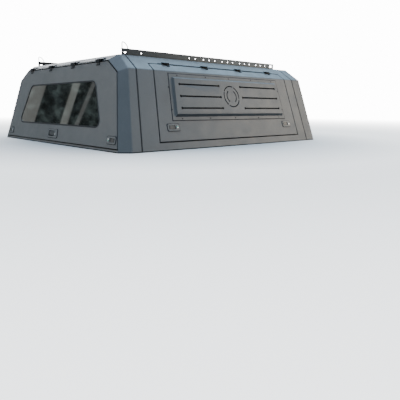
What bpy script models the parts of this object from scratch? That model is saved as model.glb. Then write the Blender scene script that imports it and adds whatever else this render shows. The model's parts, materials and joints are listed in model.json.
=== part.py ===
"""Modular hard canopy for a short pickup bed: folded-sheet shell in modules, a top-hinged rear hatch with a
window, a gull-wing door on each side, gas struts, latches, roof rack rails and weather seals.

Frame: metres, +Z up. z = 0 is the underside of the base seal, which lies on the bed rails. +Y points to the
cab, the hatch faces -Y, and +X is the right-hand side of the vehicle. The canopy is symmetric about X = 0.
"""
import math

import bmesh
import bpy
from mathutils import Matrix, Vector

# ------------------------------------------------------------------------------------------------ dimensions
Y_SHIFT = -0.0482        # moves the whole canopy along Y so that the origin is under the middle of its box

BASE_HALF_WIDTH = 0.884  # half width at the bed rail
SIDE_LEAN = 0.3255       # the sides lean in by this much X per metre of height (18 degrees)
SHOULDER_Z = 0.463       # height of the fold between side and shoulder
ROOF_Z = 0.5487          # top of the roof sheet
ROOF_HALF_WIDTH = 0.603  # half width of the flat roof
HATCH_Y = -0.85          # hatch plane at z = 0
HATCH_LEAN = 0.2188      # the hatch leans forward by this much Y per metre of height
FRONT_Y = 0.9455         # front wall at z = 0
FRONT_LEAN = 0.070
CORNER_BASE_Y = -0.792   # where the corner post meets the side at z = 0
CORNER_TOP_Y = -0.705    # and at the shoulder fold
HATCH_CORNER = (0.699, 0.443)   # x, z of the fold vertex at the lower end of the hatch's cut-off top corner
HATCH_TOP = (0.582, 0.5146)     # x, z of the fold vertex at its upper end
ROOF_REAR_Y = -0.678     # where the header chamfer meets the roof
FRAME_Z = 0.006          # underside of the sheet-metal frames, on top of the base seal

SHEET = 0.003            # sheet thickness
BEND = 0.004             # outer bevel of each fold
FLANGE = 0.062           # width of the inward base flange
SEAM = 0.010             # gap between modules
REAR_SEAM = (-0.7244, 0.1586)   # y at z = 0 and slope of the joint between the rear and side frames
FRONT_SEAM = (0.850, -0.0808)   # the same for the side and front frames
ROOF_SPLIT_X = 0.590     # joint between the roof panel and the side frames, under the rack rails

DOOR_BOTTOM_Z = 0.0497
DOOR_TOP_Z = 0.503
DOOR_REAR = (-0.5947, 0.1432)
DOOR_FRONT = (0.7510, -0.0723)
DOOR_GAP = 0.0045
LEAF_GAP = 0.0040         # what a door or the hatch is smaller by, all round, to widen the gap at its edge
RIM_DEPTH = 0.016        # how far the turned edge of a door or of the hatch reaches in from the outer face
JAMB_DEPTH = 0.025       # depth of the jamb's sealing face
JAMB_LIP = 0.013         # how far the sealing face reaches into the opening

HINGE_STANDOFF = 0.007   # hinge axis above the sheet
KNUCKLE_R = 0.0062
PIN_R = 0.0026
BORE_R = 0.0031
DOOR_HINGE_Y = (-0.3915, -0.0665, 0.2585, 0.5835)
HATCH_HINGE_X = (-0.485, -0.165, 0.165, 0.485)
DOOR_HINGE = (0.042, 0.0, 0.022, 0.022)       # width, offset of the parting between the halves, reach of the frame leaf and of the moving leaf
HATCH_HINGE = (0.062, 0.007, 0.030, 0.027)

STRUT_R = 0.22           # both strut pivots lie on this radius about the hinge axis
STRUT_SPREAD = 79.0      # degrees between them with the door shut
OPEN_ANGLE = 74.0        # degrees the doors and the hatch open
DOOR_STRUT_Y = (-0.500, 0.680)
HATCH_STRUT_X = 0.580
TUBE_R, ROD_R, EYE_R, STUD_R = 0.009, 0.004, 0.008, 0.003

LATCH = (0.090, 0.042)   # bezel of the side and hatch corner latches
DOOR_LATCH_YZ = ((-0.468, 0.131), (0.625, 0.130))
HATCH_LATCH_XZ = (0.748, 0.066)
PADDLE = (0.140, 0.056)
PADDLE_Z = 0.069

RAIL_Y = (-0.652, 0.759)
RAIL_X = 0.592
RAIL_H = 0.037

COVER_H = 0.016          # how far the door cover stands out

# ------------------------------------------------------------------------------------------------ materials
COLOURS = {
    "powder_coat": ((0.135, 0.140, 0.145), 0.45, 0.2),
    "powder_coat_roof": ((0.16, 0.165, 0.17), 0.45, 0.2),
    "black_hardware": ((0.02, 0.021, 0.023), 0.4, 0.3),
    "latch_coat": ((0.11, 0.115, 0.118), 0.45, 0.3),
    "tinted_glass": ((0.02, 0.03, 0.03), 0.05, 0.0),
    "seal_rubber": ((0.015, 0.015, 0.016), 0.8, 0.0),
    "rail_coat": ((0.12, 0.13, 0.13), 0.45, 0.3),
    "strut_tube": ((0.02, 0.02, 0.022), 0.35, 0.2),
    "bright_steel": ((0.6, 0.61, 0.62), 0.25, 1.0),
}

for old in list(bpy.data.objects):
    bpy.data.objects.remove(old, do_unlink=True)
for old in list(bpy.data.meshes):
    bpy.data.meshes.remove(old)

SCENE = bpy.context.scene
SHIFT = Vector((0.0, Y_SHIFT, 0.0))


def material(name):
    found = bpy.data.materials.get(name)
    if found:
        return found
    colour, rough, metal = COLOURS[name]
    made = bpy.data.materials.new(name)
    made.use_nodes = True
    shader = made.node_tree.nodes["Principled BSDF"]
    shader.inputs["Base Color"].default_value = (*colour, 1.0)
    shader.inputs["Roughness"].default_value = rough
    shader.inputs["Metallic"].default_value = metal
    return made


# ------------------------------------------------------------------------------------------------ solids
def plane(normal, point):
    n = Vector(normal).normalized()
    return n, n.dot(Vector(point))


def through(a, b, c, outside):
    """The plane through three points whose normal points to the same side as outside."""
    a, b, c = Vector(a), Vector(b), Vector(c)
    n = (b - a).cross(c - a).normalized()
    if n.dot(Vector(outside)) < 0:
        n = -n
    return n, n.dot(a)


def inset(planes, distance):
    return [(n, c - distance) for n, c in planes]


def convex(planes, low=(-1.4, -1.4, -0.3), high=(1.4, 1.4, 0.9)):
    """The convex solid inside all the planes, as a bmesh cut out of a block."""
    bm = bmesh.new()
    bmesh.ops.create_cube(bm, size=1.0)
    for v in bm.verts:
        v.co = Vector([low[i] + (v.co[i] + 0.5) * (high[i] - low[i]) for i in range(3)])
    for n, c in planes:
        done = bmesh.ops.bisect_plane(
            bm, geom=bm.verts[:] + bm.edges[:] + bm.faces[:], dist=1e-7, plane_co=n * c, plane_no=n, clear_outer=True)
        edges = [g for g in done["geom_cut"] if isinstance(g, bmesh.types.BMEdge) and len(g.link_faces) == 1]
        if edges:
            bmesh.ops.edgeloop_fill(bm, edges=edges)
    # four planes that meet in one point leave an edge of no length, which would spoil a bevel
    bmesh.ops.remove_doubles(bm, verts=bm.verts, dist=1e-5)
    bmesh.ops.recalc_face_normals(bm, faces=bm.faces)
    return bm


def helper(bm):
    """A hidden object holding the bmesh, for Boolean work."""
    mesh = bpy.data.meshes.new("cutter")
    bm.to_mesh(mesh)
    bm.free()
    obj = bpy.data.objects.new("cutter", mesh)
    obj.hide_render = True
    obj.display_type = "WIRE"
    SCENE.collection.objects.link(obj)
    return obj


def boolean(first, second, operation):
    """first with second cut, joined or kept in common. Both helpers are used up."""
    modifier = first.modifiers.new("boolean", "BOOLEAN")
    modifier.operation = operation
    modifier.solver = "EXACT"
    modifier.object = second
    bpy.context.view_layer.update()
    graph = bpy.context.evaluated_depsgraph_get()
    mesh = bpy.data.meshes.new_from_object(first.evaluated_get(graph))
    for used in (first, second):
        bpy.data.objects.remove(used, do_unlink=True)
    obj = bpy.data.objects.new("cutter", mesh)
    obj.hide_render = True
    obj.display_type = "WIRE"
    SCENE.collection.objects.link(obj)
    return obj


def cut(first, second):
    return boolean(first, second, "DIFFERENCE")


def join(first, *others):
    for other in others:
        first = boolean(first, other, "UNION")
    return first


def common(first, second):
    return boolean(first, second, "INTERSECT")


def finish(obj, name, slot, smooth=None, mirror=False):
    """Turns a helper into a node: cleans it, colours it, and moves it to the final frame."""
    bm = bmesh.new()
    bm.from_mesh(obj.data)
    bpy.data.objects.remove(obj, do_unlink=True)
    bmesh.ops.remove_doubles(bm, verts=bm.verts, dist=2e-6)
    bmesh.ops.dissolve_limit(bm, angle_limit=math.radians(0.05), verts=bm.verts, edges=bm.edges)
    if mirror:
        for v in bm.verts:
            v.co.x = -v.co.x
        bmesh.ops.reverse_faces(bm, faces=bm.faces)
    mesh = bpy.data.meshes.new(name)
    bm.to_mesh(mesh)
    bm.free()
    mesh.materials.append(material(slot))
    if smooth:
        mesh.shade_smooth()
        mesh.set_sharp_from_angle(angle=math.radians(smooth))
    node = bpy.data.objects.new(name, mesh)
    SCENE.collection.objects.link(node)
    return node


PIVOTS = {}


def place(node, pivot=None):
    """Moves a node into the shared frame; a moving node gets its origin on its joint's axis."""
    mesh = node.data
    mesh.transform(Matrix.Translation(SHIFT))
    if pivot is not None:
        centre = Vector(pivot) + SHIFT
        mesh.transform(Matrix.Translation(-centre))
        node.location = centre
    return node


def frame_at(origin, ex, ey):
    """A matrix with X along ex, Y along ey and Z = X cross Y, at origin."""
    ex = Vector(ex).normalized()
    ez = ex.cross(Vector(ey)).normalized()
    ey = ez.cross(ex)
    return Matrix((
        (ex.x, ey.x, ez.x, origin[0]),
        (ex.y, ey.y, ez.y, origin[1]),
        (ex.z, ey.z, ez.z, origin[2]),
        (0, 0, 0, 1)))


def slab(outline, low, high, matrix=None):
    """A prism: the flat outline (x, y) from z = low to z = high, placed by the matrix."""
    bm = bmesh.new()
    floor = [bm.verts.new((x, y, low)) for x, y in outline]
    roof = [bm.verts.new((x, y, high)) for x, y in outline]
    bm.faces.new(floor[::-1])
    bm.faces.new(roof)
    for i in range(len(outline)):
        j = (i + 1) % len(outline)
        bm.faces.new((floor[i], floor[j], roof[j], roof[i]))
    bmesh.ops.recalc_face_normals(bm, faces=bm.faces)
    if matrix is not None:
        bm.transform(matrix)
    return helper(bm)


def block(low, high, matrix=None):
    return slab([(low[0], low[1]), (high[0], low[1]), (high[0], high[1]), (low[0], high[1])], low[2], high[2], matrix)


def circle(radius, count, cx=0.0, cy=0.0, turn=0.0):
    return [(cx + radius * math.cos(turn + 2 * math.pi * i / count), cy + radius * math.sin(turn + 2 * math.pi * i / count))
            for i in range(count)]


def rod_between(a, b, radius, count=12):
    """A cylinder from a to b."""
    a, b = Vector(a), Vector(b)
    along = (b - a).normalized()
    side = Vector((0, 0, 1)) if abs(along.z) < 0.9 else Vector((1, 0, 0))
    ex = side.cross(along).normalized()
    ey = along.cross(ex)
    return slab(circle(radius, count), 0.0, (b - a).length, frame_at(a, ex, ey))


def rounded(points, radii, steps=4):
    """A convex outline with rounded corners."""
    made = []
    count = len(points)
    for i, (p, r) in enumerate(zip(points, radii)):
        p = Vector(p)
        before = (Vector(points[i - 1]) - p).normalized()
        after = (Vector(points[(i + 1) % count]) - p).normalized()
        if r <= 0:
            made.append(tuple(p))
            continue
        half = before.angle(after) / 2
        centre = p + (before + after).normalized() * (r / math.sin(half))
        start = p + before * (r / math.tan(half)) - centre
        end = p + after * (r / math.tan(half)) - centre
        turn = start.angle_signed(end)
        for k in range(steps + 1):
            a = -turn * k / steps
            made.append((centre.x + start.x * math.cos(a) - start.y * math.sin(a),
                         centre.y + start.x * math.sin(a) + start.y * math.cos(a)))
    return made


def offset_outline(points, distance):
    """A convex anticlockwise outline moved outwards by distance (inwards if negative), corner by corner."""
    made = []
    count = len(points)
    for i in range(count):
        a, b, c = Vector(points[i - 1]), Vector(points[i]), Vector(points[(i + 1) % count])
        n1 = Vector(((b - a).y, -(b - a).x)).normalized()
        n2 = Vector(((c - b).y, -(c - b).x)).normalized()
        bis = (n1 + n2).normalized()
        made.append(tuple(b + bis * (distance / max(0.3, bis.dot(n1)))))
    return made


# ------------------------------------------------------------------------------------------------ the outer form
def hatch_y(z):
    return HATCH_Y + HATCH_LEAN * z


def side_x(z):
    return BASE_HALF_WIDTH - SIDE_LEAN * z


SHOULDER_X = side_x(SHOULDER_Z)
SHOULDER_DX = SHOULDER_X - ROOF_HALF_WIDTH
SHOULDER_DZ = ROOF_Z - SHOULDER_Z


def shoulder_x(z):
    return SHOULDER_X - (z - SHOULDER_Z) * SHOULDER_DX / SHOULDER_DZ


def outer_planes():
    planes = [plane((0, 0, 1), (0, 0, ROOF_Z))]
    base_corner = (BASE_HALF_WIDTH, CORNER_BASE_Y, 0.0)
    fold_corner = (SHOULDER_X, CORNER_TOP_Y, SHOULDER_Z)
    hatch_corner = (HATCH_CORNER[0], hatch_y(HATCH_CORNER[1]), HATCH_CORNER[1])
    roof_corner = (ROOF_HALF_WIDTH, ROOF_REAR_Y, ROOF_Z)
    for s in (1, -1):
        m = lambda p: (s * p[0], p[1], p[2])
        planes.append(plane((s, 0, SIDE_LEAN), (s * BASE_HALF_WIDTH, 0, 0)))
        planes.append(plane((s * SHOULDER_DZ, 0, SHOULDER_DX), (s * SHOULDER_X, 0, SHOULDER_Z)))
        planes.append(through(m(base_corner), m(fold_corner), m(hatch_corner), (s, -1, 0.3)))
        planes.append(through(m(fold_corner), m(roof_corner), m(hatch_corner), (s * 0.3, -0.7, 0.7)))
    planes.append(plane((0, -1, HATCH_LEAN), (0, HATCH_Y, 0)))
    rise = ROOF_Z - HATCH_TOP[1]
    run = ROOF_REAR_Y - hatch_y(HATCH_TOP[1])
    planes.append(plane((0, -rise, run), (0, ROOF_REAR_Y, ROOF_Z)))
    planes.append(plane((0, 1, FRONT_LEAN), (0, FRONT_Y, 0)))
    return planes


OUTER = outer_planes()
HATCH_FACES = (9,)               # places in OUTER of the faces that the hatch lies on
DOOR_FACES = {1: (1, 2), -1: (5, 6)}   # and of the side and shoulder that each door lies on
FLOOR = plane((0, 0, -1), (0, 0, FRAME_Z))
SIDE_N = {s: Vector((s, 0, SIDE_LEAN)).normalized() for s in (1, -1)}
SIDE_UP = {s: Vector((-s * SIDE_LEAN, 0, 1)).normalized() for s in (1, -1)}
SHOULDER_N = {s: Vector((s * SHOULDER_DZ, 0, SHOULDER_DX)).normalized() for s in (1, -1)}
SHOULDER_UP = {s: Vector((-s * SHOULDER_DX, 0, SHOULDER_DZ)).normalized() for s in (1, -1)}
HATCH_N = Vector((0, -1, HATCH_LEAN)).normalized()
HATCH_UP = Vector((0, HATCH_LEAN, 1)).normalized()
HEADER_N = Vector((0, -(ROOF_Z - HATCH_TOP[1]), ROOF_REAR_Y - hatch_y(HATCH_TOP[1]))).normalized()
FRONT_N = Vector((0, 1, FRONT_LEAN)).normalized()
FRONT_UP = Vector((0, -FRONT_LEAN, 1)).normalized()


def skin(depth=0.0, extra=(), bevelled=True):
    """The outer form, set in by depth, cut off at the frame's underside and by the extra planes."""
    bm = convex(inset(OUTER, depth) + [FLOOR])
    if bevelled:
        edges = [e for e in bm.edges if min(v.co.z for v in e.verts) > FRAME_Z + 1e-4
                 or abs(e.verts[0].co.z - e.verts[1].co.z) > 1e-3]
        bmesh.ops.bevel(bm, geom=edges, offset=BEND, offset_type="OFFSET", segments=2, profile=0.5,
                        affect="EDGES", clamp_overlap=True)
        bmesh.ops.recalc_face_normals(bm, faces=bm.faces)
    obj = helper(bm)
    if extra:
        obj = common(obj, helper(convex(list(extra))))
    return obj


def core(depth, extra=()):
    """The outer form set in by depth and open downwards, for cutting."""
    return helper(convex(inset(OUTER, depth) + list(extra)))


def y_plane(seam, forward, gap=0.0):
    """The plane y = a + b z; it keeps what is behind it, or in front of it where forward is set."""
    a, b = seam
    n = Vector((0, 1, -b)).normalized()
    one = (n, n.dot(Vector((0, a, 0))) - gap)
    if not forward:
        return one
    return -n, -(n.dot(Vector((0, a, 0))) + gap)


# ------------------------------------------------------------------------------------------------ openings
def door_planes(s):
    return [
        y_plane(DOOR_REAR, True), y_plane(DOOR_FRONT, False),
        plane(-SIDE_UP[s], (s * side_x(DOOR_BOTTOM_Z), 0, DOOR_BOTTOM_Z)),
        plane(SHOULDER_UP[s], (s * shoulder_x(DOOR_TOP_Z), 0, DOOR_TOP_Z)),
        plane((-s, 0, 0), (s * 0.3, 0, 0)),
    ]


def hatch_point(x, z, out=0.0):
    return Vector((x, hatch_y(z), z)) + HATCH_N * out


def side_point(s, y, z, out=0.0):
    return Vector((s * side_x(z), y, z)) + SIDE_N[s] * out


def shoulder_point(s, y, z, out=0.0):
    return Vector((s * shoulder_x(z), y, z)) + SHOULDER_N[s] * out


def hatch_planes():
    """The hatch's edges, square to its face and just inside the folds around it."""
    corner = outer_corner()
    made = []
    for s in (1, -1):
        m = lambda p: Vector((s * p.x, p.y, p.z))
        for a, b in ((corner["base"], corner["side"]), (corner["side"], corner["top"])):
            a, b = m(a), m(b)
            n = (b - a).cross(HATCH_N).normalized()
            if n.x * s < 0:
                n = -n
            made.append((n, n.dot(a) - 0.0045))
    made.append(plane(HATCH_UP, corner["top"] - HATCH_UP * 0.0045))
    made.append(plane(-HATCH_UP, hatch_point(0, 0.0185)))
    made.append(plane((0, 1, 0), (0, -0.45, 0)))
    return made


def outer_corner():
    """Fold vertices on the hatch plane, from the planes that meet there."""
    def meet(*three):
        rows = Matrix([list(n) for n, _ in three])
        return rows.inverted() @ Vector([c for _, c in three])
    roof, side, shoulder, post, upper = OUTER[0], OUTER[1], OUTER[2], OUTER[3], OUTER[4]
    hatch, header = OUTER[9], OUTER[10]
    ground = plane((0, 0, -1), (0, 0, 0))
    return {"base": meet(post, hatch, ground), "side": meet(post, hatch, upper), "top": meet(upper, hatch, header)}


def grow(planes, distance, keep=1):
    """Moves the region's planes outwards, apart from the last keep ones."""
    return [(n, c + distance) for n, c in planes[:len(planes) - keep]] + planes[len(planes) - keep:]


def behind(faces, depth):
    """What is more than depth inside the given outer faces, for cutting."""
    return helper(convex([(OUTER[k][0], OUTER[k][1] - depth) for k in faces]))


def jamb(region, faces):
    """The turned-in edge around an opening and the sealing face that ends it."""
    made = helper(convex(inset(OUTER, 0.002) + [FLOOR] + grow(region, DOOR_GAP + SHEET)))
    made = cut(made, behind(faces, JAMB_DEPTH + SHEET))
    mouth = helper(convex(grow(region, DOOR_GAP) + [FLOOR]))
    mouth = cut(mouth, behind(faces, JAMB_DEPTH))
    made = cut(made, mouth)
    return cut(made, helper(convex(grow(region, -JAMB_LIP))))


def leaf(region, faces):
    """A door or hatch: the sheet and its turned-in edge."""
    region = grow(region, -LEAF_GAP)
    made = common(skin(), helper(convex(region)))
    inner = common(core(SHEET), helper(convex(grow(region, -SHEET))))
    return cut(cut(made, inner), behind(faces, RIM_DEPTH))


def seal(region, faces):
    """The weather strip between a leaf's turned edge and the jamb."""
    made = helper(convex([(OUTER[k][0], OUTER[k][1] - RIM_DEPTH - 0.0004) for k in faces] + grow(region, -0.0005)))
    made = cut(made, behind(faces, JAMB_DEPTH - 0.0004))
    return cut(made, helper(convex(grow(region, -0.0115))))


def base_flange():
    ring = helper(convex(inset(OUTER, 0.001) + [FLOOR, plane((0, 0, 1), (0, 0, FRAME_Z + SHEET))]))
    return cut(ring, core(FLANGE))


def shell():
    sheet = cut(skin(), core(SHEET))
    return join(sheet, base_flange())


# ------------------------------------------------------------------------------------------------ frames
def rear_frame():
    made = common(shell(), helper(convex([y_plane(REAR_SEAM, False, SEAM / 2)])))
    region = hatch_planes()
    made = cut(made, helper(convex(grow(region, DOOR_GAP - 0.0004))))
    ring = common(jamb(region, HATCH_FACES), helper(convex([y_plane(REAR_SEAM, False, SEAM / 2 + 0.002)])))
    return join(made, ring)


def side_frame(s=1):
    region = [y_plane(REAR_SEAM, True, SEAM / 2), y_plane(FRONT_SEAM, False, SEAM / 2),
              plane((-s, 0, 0), (s * (ROOF_SPLIT_X + 0.0015), 0, 0))]
    made = common(shell(), helper(convex(region)))
    door = door_planes(s)
    made = cut(made, helper(convex(grow(door, DOOR_GAP))))
    made = join(made, jamb(door, DOOR_FACES[s]))
    ledge = [(0.545, 0.5375), (0.600, 0.5375), (0.600, 0.5468), (0.5925, 0.5468), (0.5925, 0.5452), (0.545, 0.5452)]
    bar = slab([(s * x, z) for x, z in ledge], 0.0, 1.436, frame_at((0, -0.634, 0), (1, 0, 0), (0, 0, 1)) @ Matrix.Scale(-1, 4, (0, 0, 1)))
    return join(made, bar)


WINDOW_FRONT = [(-0.52, 0.150), (0.52, 0.150), (0.43, 0.420), (-0.43, 0.420)]


def front_matrix():
    return frame_at((0, FRONT_Y, 0), (-1, 0, 0), FRONT_UP)


def front_frame():
    made = common(shell(), helper(convex([y_plane(FRONT_SEAM, True, SEAM / 2)])))
    hole = slab(rounded(WINDOW_FRONT, [0.05] * 4), -0.05, 0.05, front_matrix())
    return cut(made, hole)


def front_glass():
    outline = rounded(offset_outline(WINDOW_FRONT, 0.018), [0.06] * 4)
    return slab(outline, -0.0075, -0.0034, front_matrix())


def base_seal():
    ring = helper(convex(inset(OUTER, 0.0015) + [plane((0, 0, 1), (0, 0, FRAME_Z - 0.0004)), plane((0, 0, -1), (0, 0, 0))]))
    return cut(ring, core(0.028))


BOW_TOP = 0.5365


def bow(y):
    """A channel across the canopy under the roof, with a packer up to the roof sheet."""
    w, h, t = 0.020, 0.026, 0.003
    outline = [(-w, -h), (-w + t, -h), (-w + t, -t), (w - t, -t), (w - t, -h), (w, -h), (w, 0), (-w, 0)]
    made = slab(outline, -0.611, 0.611, frame_at((0, y, BOW_TOP), (0, 1, 0), (0, 0, 1)))
    return join(made, block((-0.53, y - 0.010, BOW_TOP - 0.001), (0.53, y + 0.010, ROOF_Z - 0.002)))


def door_axis(s):
    return shoulder_point(s, 0.0, DOOR_TOP_Z, HINGE_STANDOFF)


def hatch_axis():
    edge = Vector((0, hatch_y(HATCH_TOP[1]), HATCH_TOP[1]))
    bisector = (HATCH_N + HEADER_N).normalized()
    return edge + bisector * (HINGE_STANDOFF / bisector.dot(HATCH_N))


def swing(angle):
    return math.cos(math.radians(angle)), math.sin(math.radians(angle))


DOOR_D_ANGLE = -73.0     # direction from the door hinge to the strut's lower pivot, in the X-Z plane
HATCH_D_ANGLE = -90.0    # the same for the hatch, in the plane of -Y and Z


def door_pivots(s, y):
    axis = door_axis(s)
    cd, sd = swing(DOOR_D_ANGLE)
    cf, sf = swing(DOOR_D_ANGLE - STRUT_SPREAD)
    lower = Vector((axis.x + s * STRUT_R * cd, y, axis.z + STRUT_R * sd))
    upper = Vector((axis.x + s * STRUT_R * cf, y, axis.z + STRUT_R * sf))
    return upper, lower


def hatch_pivots(x):
    axis = hatch_axis()
    cd, sd = swing(HATCH_D_ANGLE)
    cf, sf = swing(HATCH_D_ANGLE - STRUT_SPREAD)
    lower = Vector((x, axis.y - STRUT_R * cd, axis.z + STRUT_R * sd))
    upper = Vector((x, axis.y - STRUT_R * cf, axis.z + STRUT_R * sf))
    return upper, lower


PLATE = (0.0095, 0.0135)  # the bracket plates' near and far faces, from the strut's plane


def span(a, b):
    return min(a, b), max(a, b)


def door_upper_bracket(s, y, toward):
    """The plate that hangs from a bow beside a door strut, with its ball stud."""
    f, _ = door_pivots(s, y)
    low, high = span(y + toward * PLATE[0], y + toward * PLATE[1])
    outline = [(s * 0.425, 0.5346), (s * 0.535, 0.5346), (f.x + s * 0.016, f.z), (f.x + s * 0.008, f.z - 0.012),
               (f.x - s * 0.008, f.z - 0.012), (f.x - s * 0.016, f.z)]
    made = slab([(x, -z) for x, z in outline], low, high, frame_at((0, 0, 0), (1, 0, 0), (0, 0, -1)))
    stud = rod_between((f.x, y + toward * (PLATE[0] + 0.001), f.z), (f.x, y - toward * 0.0055, f.z), STUD_R)
    return join(made, stud)


def hatch_upper_bracket(s):
    f, _ = hatch_pivots(s * HATCH_STRUT_X)
    low, high = span(s * (HATCH_STRUT_X - PLATE[0]), s * (HATCH_STRUT_X - PLATE[1]))
    outline = [(-0.4515, 0.5351), (-0.4882, 0.5351), (f.y - 0.012, f.z + 0.010), (f.y - 0.012, f.z - 0.006),
               (f.y - 0.004, f.z - 0.012), (f.y + 0.008, f.z - 0.012), (-0.4515, 0.5120)]
    made = slab(outline, low, high, frame_at((0, 0, 0), (0, 1, 0), (0, 0, 1)))
    stud = rod_between((s * (HATCH_STRUT_X - PLATE[0] - 0.001), f.y, f.z), (s * (HATCH_STRUT_X + 0.0055), f.y, f.z), STUD_R)
    return join(made, stud)


REAR_BOW_Y = DOOR_STRUT_Y[0] + PLATE[1] + 0.0166
FRONT_BOW_Y = DOOR_STRUT_Y[1] - PLATE[1] - 0.0166


def roof_panel():
    region = [y_plane(REAR_SEAM, True, SEAM / 2), y_plane(FRONT_SEAM, False, SEAM / 2)]
    region += [plane((s, 0, 0), (s * (ROOF_SPLIT_X - 0.0015), 0, 0)) for s in (1, -1)]
    made = common(cut(skin(), core(SHEET)), helper(convex(region + [plane((0, 0, -1), (0, 0, 0.4))])))
    made = join(made, bow(REAR_BOW_Y), bow(FRONT_BOW_Y))
    for s in (1, -1):
        made = join(made, door_upper_bracket(s, DOOR_STRUT_Y[0], 1), door_upper_bracket(s, DOOR_STRUT_Y[1], -1),
                    hatch_upper_bracket(s))
    return made


def rack_rail(s=1):
    """A folded rail: foot, perforated web and top lip, with a bent rod loop at its rear end."""
    z0 = ROOF_Z + 0.0003
    t = 0.003
    top = z0 + RAIL_H
    outline = [(RAIL_X - 0.026, z0), (RAIL_X, z0), (RAIL_X, top), (RAIL_X - 0.014, top), (RAIL_X - 0.014, top - t),
               (RAIL_X - t, top - t), (RAIL_X - t, z0 + t), (RAIL_X - 0.026, z0 + t)]
    made = slab([(x, -z) for x, z in outline], RAIL_Y[0], RAIL_Y[1], frame_at((0, 0, 0), (1, 0, 0), (0, 0, -1)))
    side_on = frame_at((RAIL_X + 0.01, 0, 0), (0, 1, 0), (0, 0, 1))
    holes = [circle(0.0048, 8, -0.512, z0 + 0.017, math.pi / 8)]
    for k in range(-1, 4):
        for j in range(1 if k < 0 else 0, 3):
            holes.append(circle(0.0048, 8, 0.002 + 0.182 * k + 0.054 * j, z0 + 0.017, math.pi / 8))
    holes.append(rounded([(-0.637, z0 + 0.009), (-0.620, z0 + 0.009), (-0.620, z0 + 0.018), (-0.637, z0 + 0.018)], [0.003] * 4, 2))
    holes.append(rounded([(0.712, z0 + 0.010), (0.740, z0 + 0.010), (0.740, z0 + 0.026), (0.712, z0 + 0.026)], [0.004] * 4, 2))
    for hole in holes:
        made = cut(made, slab(hole, -0.03, 0.03, side_on))
    # the loop: up, over and down again, welded to the web's inner face
    path = [(-0.646, top - 0.012), (-0.646, top + 0.030), (-0.640, top + 0.036), (-0.624, top + 0.030), (-0.610, top + 0.014),
            (-0.606, top - 0.002), (-0.606, top - 0.012)]
    curve = bpy.data.curves.new("loop", "CURVE")
    curve.dimensions = "3D"
    curve.bevel_depth = 0.003
    curve.bevel_resolution = 1
    curve.use_fill_caps = True
    curve.resolution_u = 1
    line = curve.splines.new("POLY")
    line.points.add(len(path) - 1)
    for point, (y, z) in zip(line.points, path):
        point.co = (RAIL_X - 0.0045, y, z, 1)
    guide = bpy.data.objects.new("loop", curve)
    SCENE.collection.objects.link(guide)
    bpy.context.view_layer.update()
    graph = bpy.context.evaluated_depsgraph_get()
    mesh = bpy.data.meshes.new_from_object(guide.evaluated_get(graph))
    bpy.data.objects.remove(guide, do_unlink=True)
    bm = bmesh.new()
    bm.from_mesh(mesh)
    bmesh.ops.remove_doubles(bm, verts=bm.verts, dist=1e-6)
    bmesh.ops.recalc_face_normals(bm, faces=bm.faces)
    return join(made, helper(bm))


# ------------------------------------------------------------------------------------------------ hatch
WINDOW = [(-0.611, 0.127), (0.611, 0.127), (0.472, 0.403), (-0.472, 0.403)]
WINDOW_R = [0.038, 0.038, 0.060, 0.060]


def hatch_matrix():
    """X to the right, Y up the hatch, Z out of it; a height z becomes a length along the hatch."""
    return frame_at((0, HATCH_Y, 0), (1, 0, 0), HATCH_UP)


def up_hatch(outline):
    stretch = math.hypot(1, HATCH_LEAN)
    return [(x, z * stretch) for x, z in outline]


def latch_hole(width, height, centre, matrix):
    w, h = width / 2, height / 2
    cx, cy = centre
    return block((cx - w, cy - h, -0.030), (cx + w, cy + h, 0.020), matrix)


def hatch_panel():
    made = leaf(hatch_planes(), HATCH_FACES)
    window = rounded(up_hatch(WINDOW), WINDOW_R)
    made = cut(made, slab(offset_outline(window, 0.0004), -0.03, 0.02, hatch_matrix()))
    stretch = math.hypot(1, HATCH_LEAN)
    for s in (1, -1):
        made = cut(made, latch_hole(0.0770, 0.0300, (s * HATCH_LATCH_XZ[0], HATCH_LATCH_XZ[1] * stretch), hatch_matrix()))
    made = cut(made, latch_hole(0.1240, 0.0420, (0, PADDLE_Z * stretch), hatch_matrix()))
    for s in (1, -1):
        _, d = hatch_pivots(s * HATCH_STRUT_X)
        low, high = span(s * (HATCH_STRUT_X - PLATE[0]), s * (HATCH_STRUT_X - PLATE[1]))
        foot_a = hatch_point(0, d.z + 0.026, -0.002)
        foot_b = hatch_point(0, d.z - 0.034, -0.002)
        outline = [(foot_a.y, foot_a.z), (foot_b.y, foot_b.z), (d.y + 0.002, d.z - 0.009), (d.y + 0.008, d.z - 0.003),
                   (d.y + 0.008, d.z + 0.004), (d.y + 0.002, d.z + 0.009)]
        plate = slab(outline, low, high, frame_at((0, 0, 0), (0, 1, 0), (0, 0, 1)))
        stud = rod_between((s * (HATCH_STRUT_X - PLATE[0] - 0.001), d.y, d.z), (s * (HATCH_STRUT_X + 0.0055), d.y, d.z), STUD_R)
        made = join(made, plate, stud)
    return made


def hatch_gasket():
    window = rounded(up_hatch(WINDOW), WINDOW_R)
    ring = slab(window, -0.0055, 0.0014, hatch_matrix())
    return cut(ring, slab(offset_outline(window, -0.0085), -0.03, 0.02, hatch_matrix()))


def hatch_glass():
    window = rounded(up_hatch(WINDOW), WINDOW_R)
    return slab(offset_outline(window, -0.0088), -0.0050, -0.0010, hatch_matrix())


# ------------------------------------------------------------------------------------------------ doors
def side_matrix(s=1):
    """X along +Y, Y up the side, Z out of it. On the right-hand side only."""
    return frame_at((BASE_HALF_WIDTH, 0, 0), (0, 1, 0), SIDE_UP[1])


SIDE_STRETCH = math.hypot(1, SIDE_LEAN)


def up_side(outline):
    return [(y, z * SIDE_STRETCH) for y, z in outline]


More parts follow.
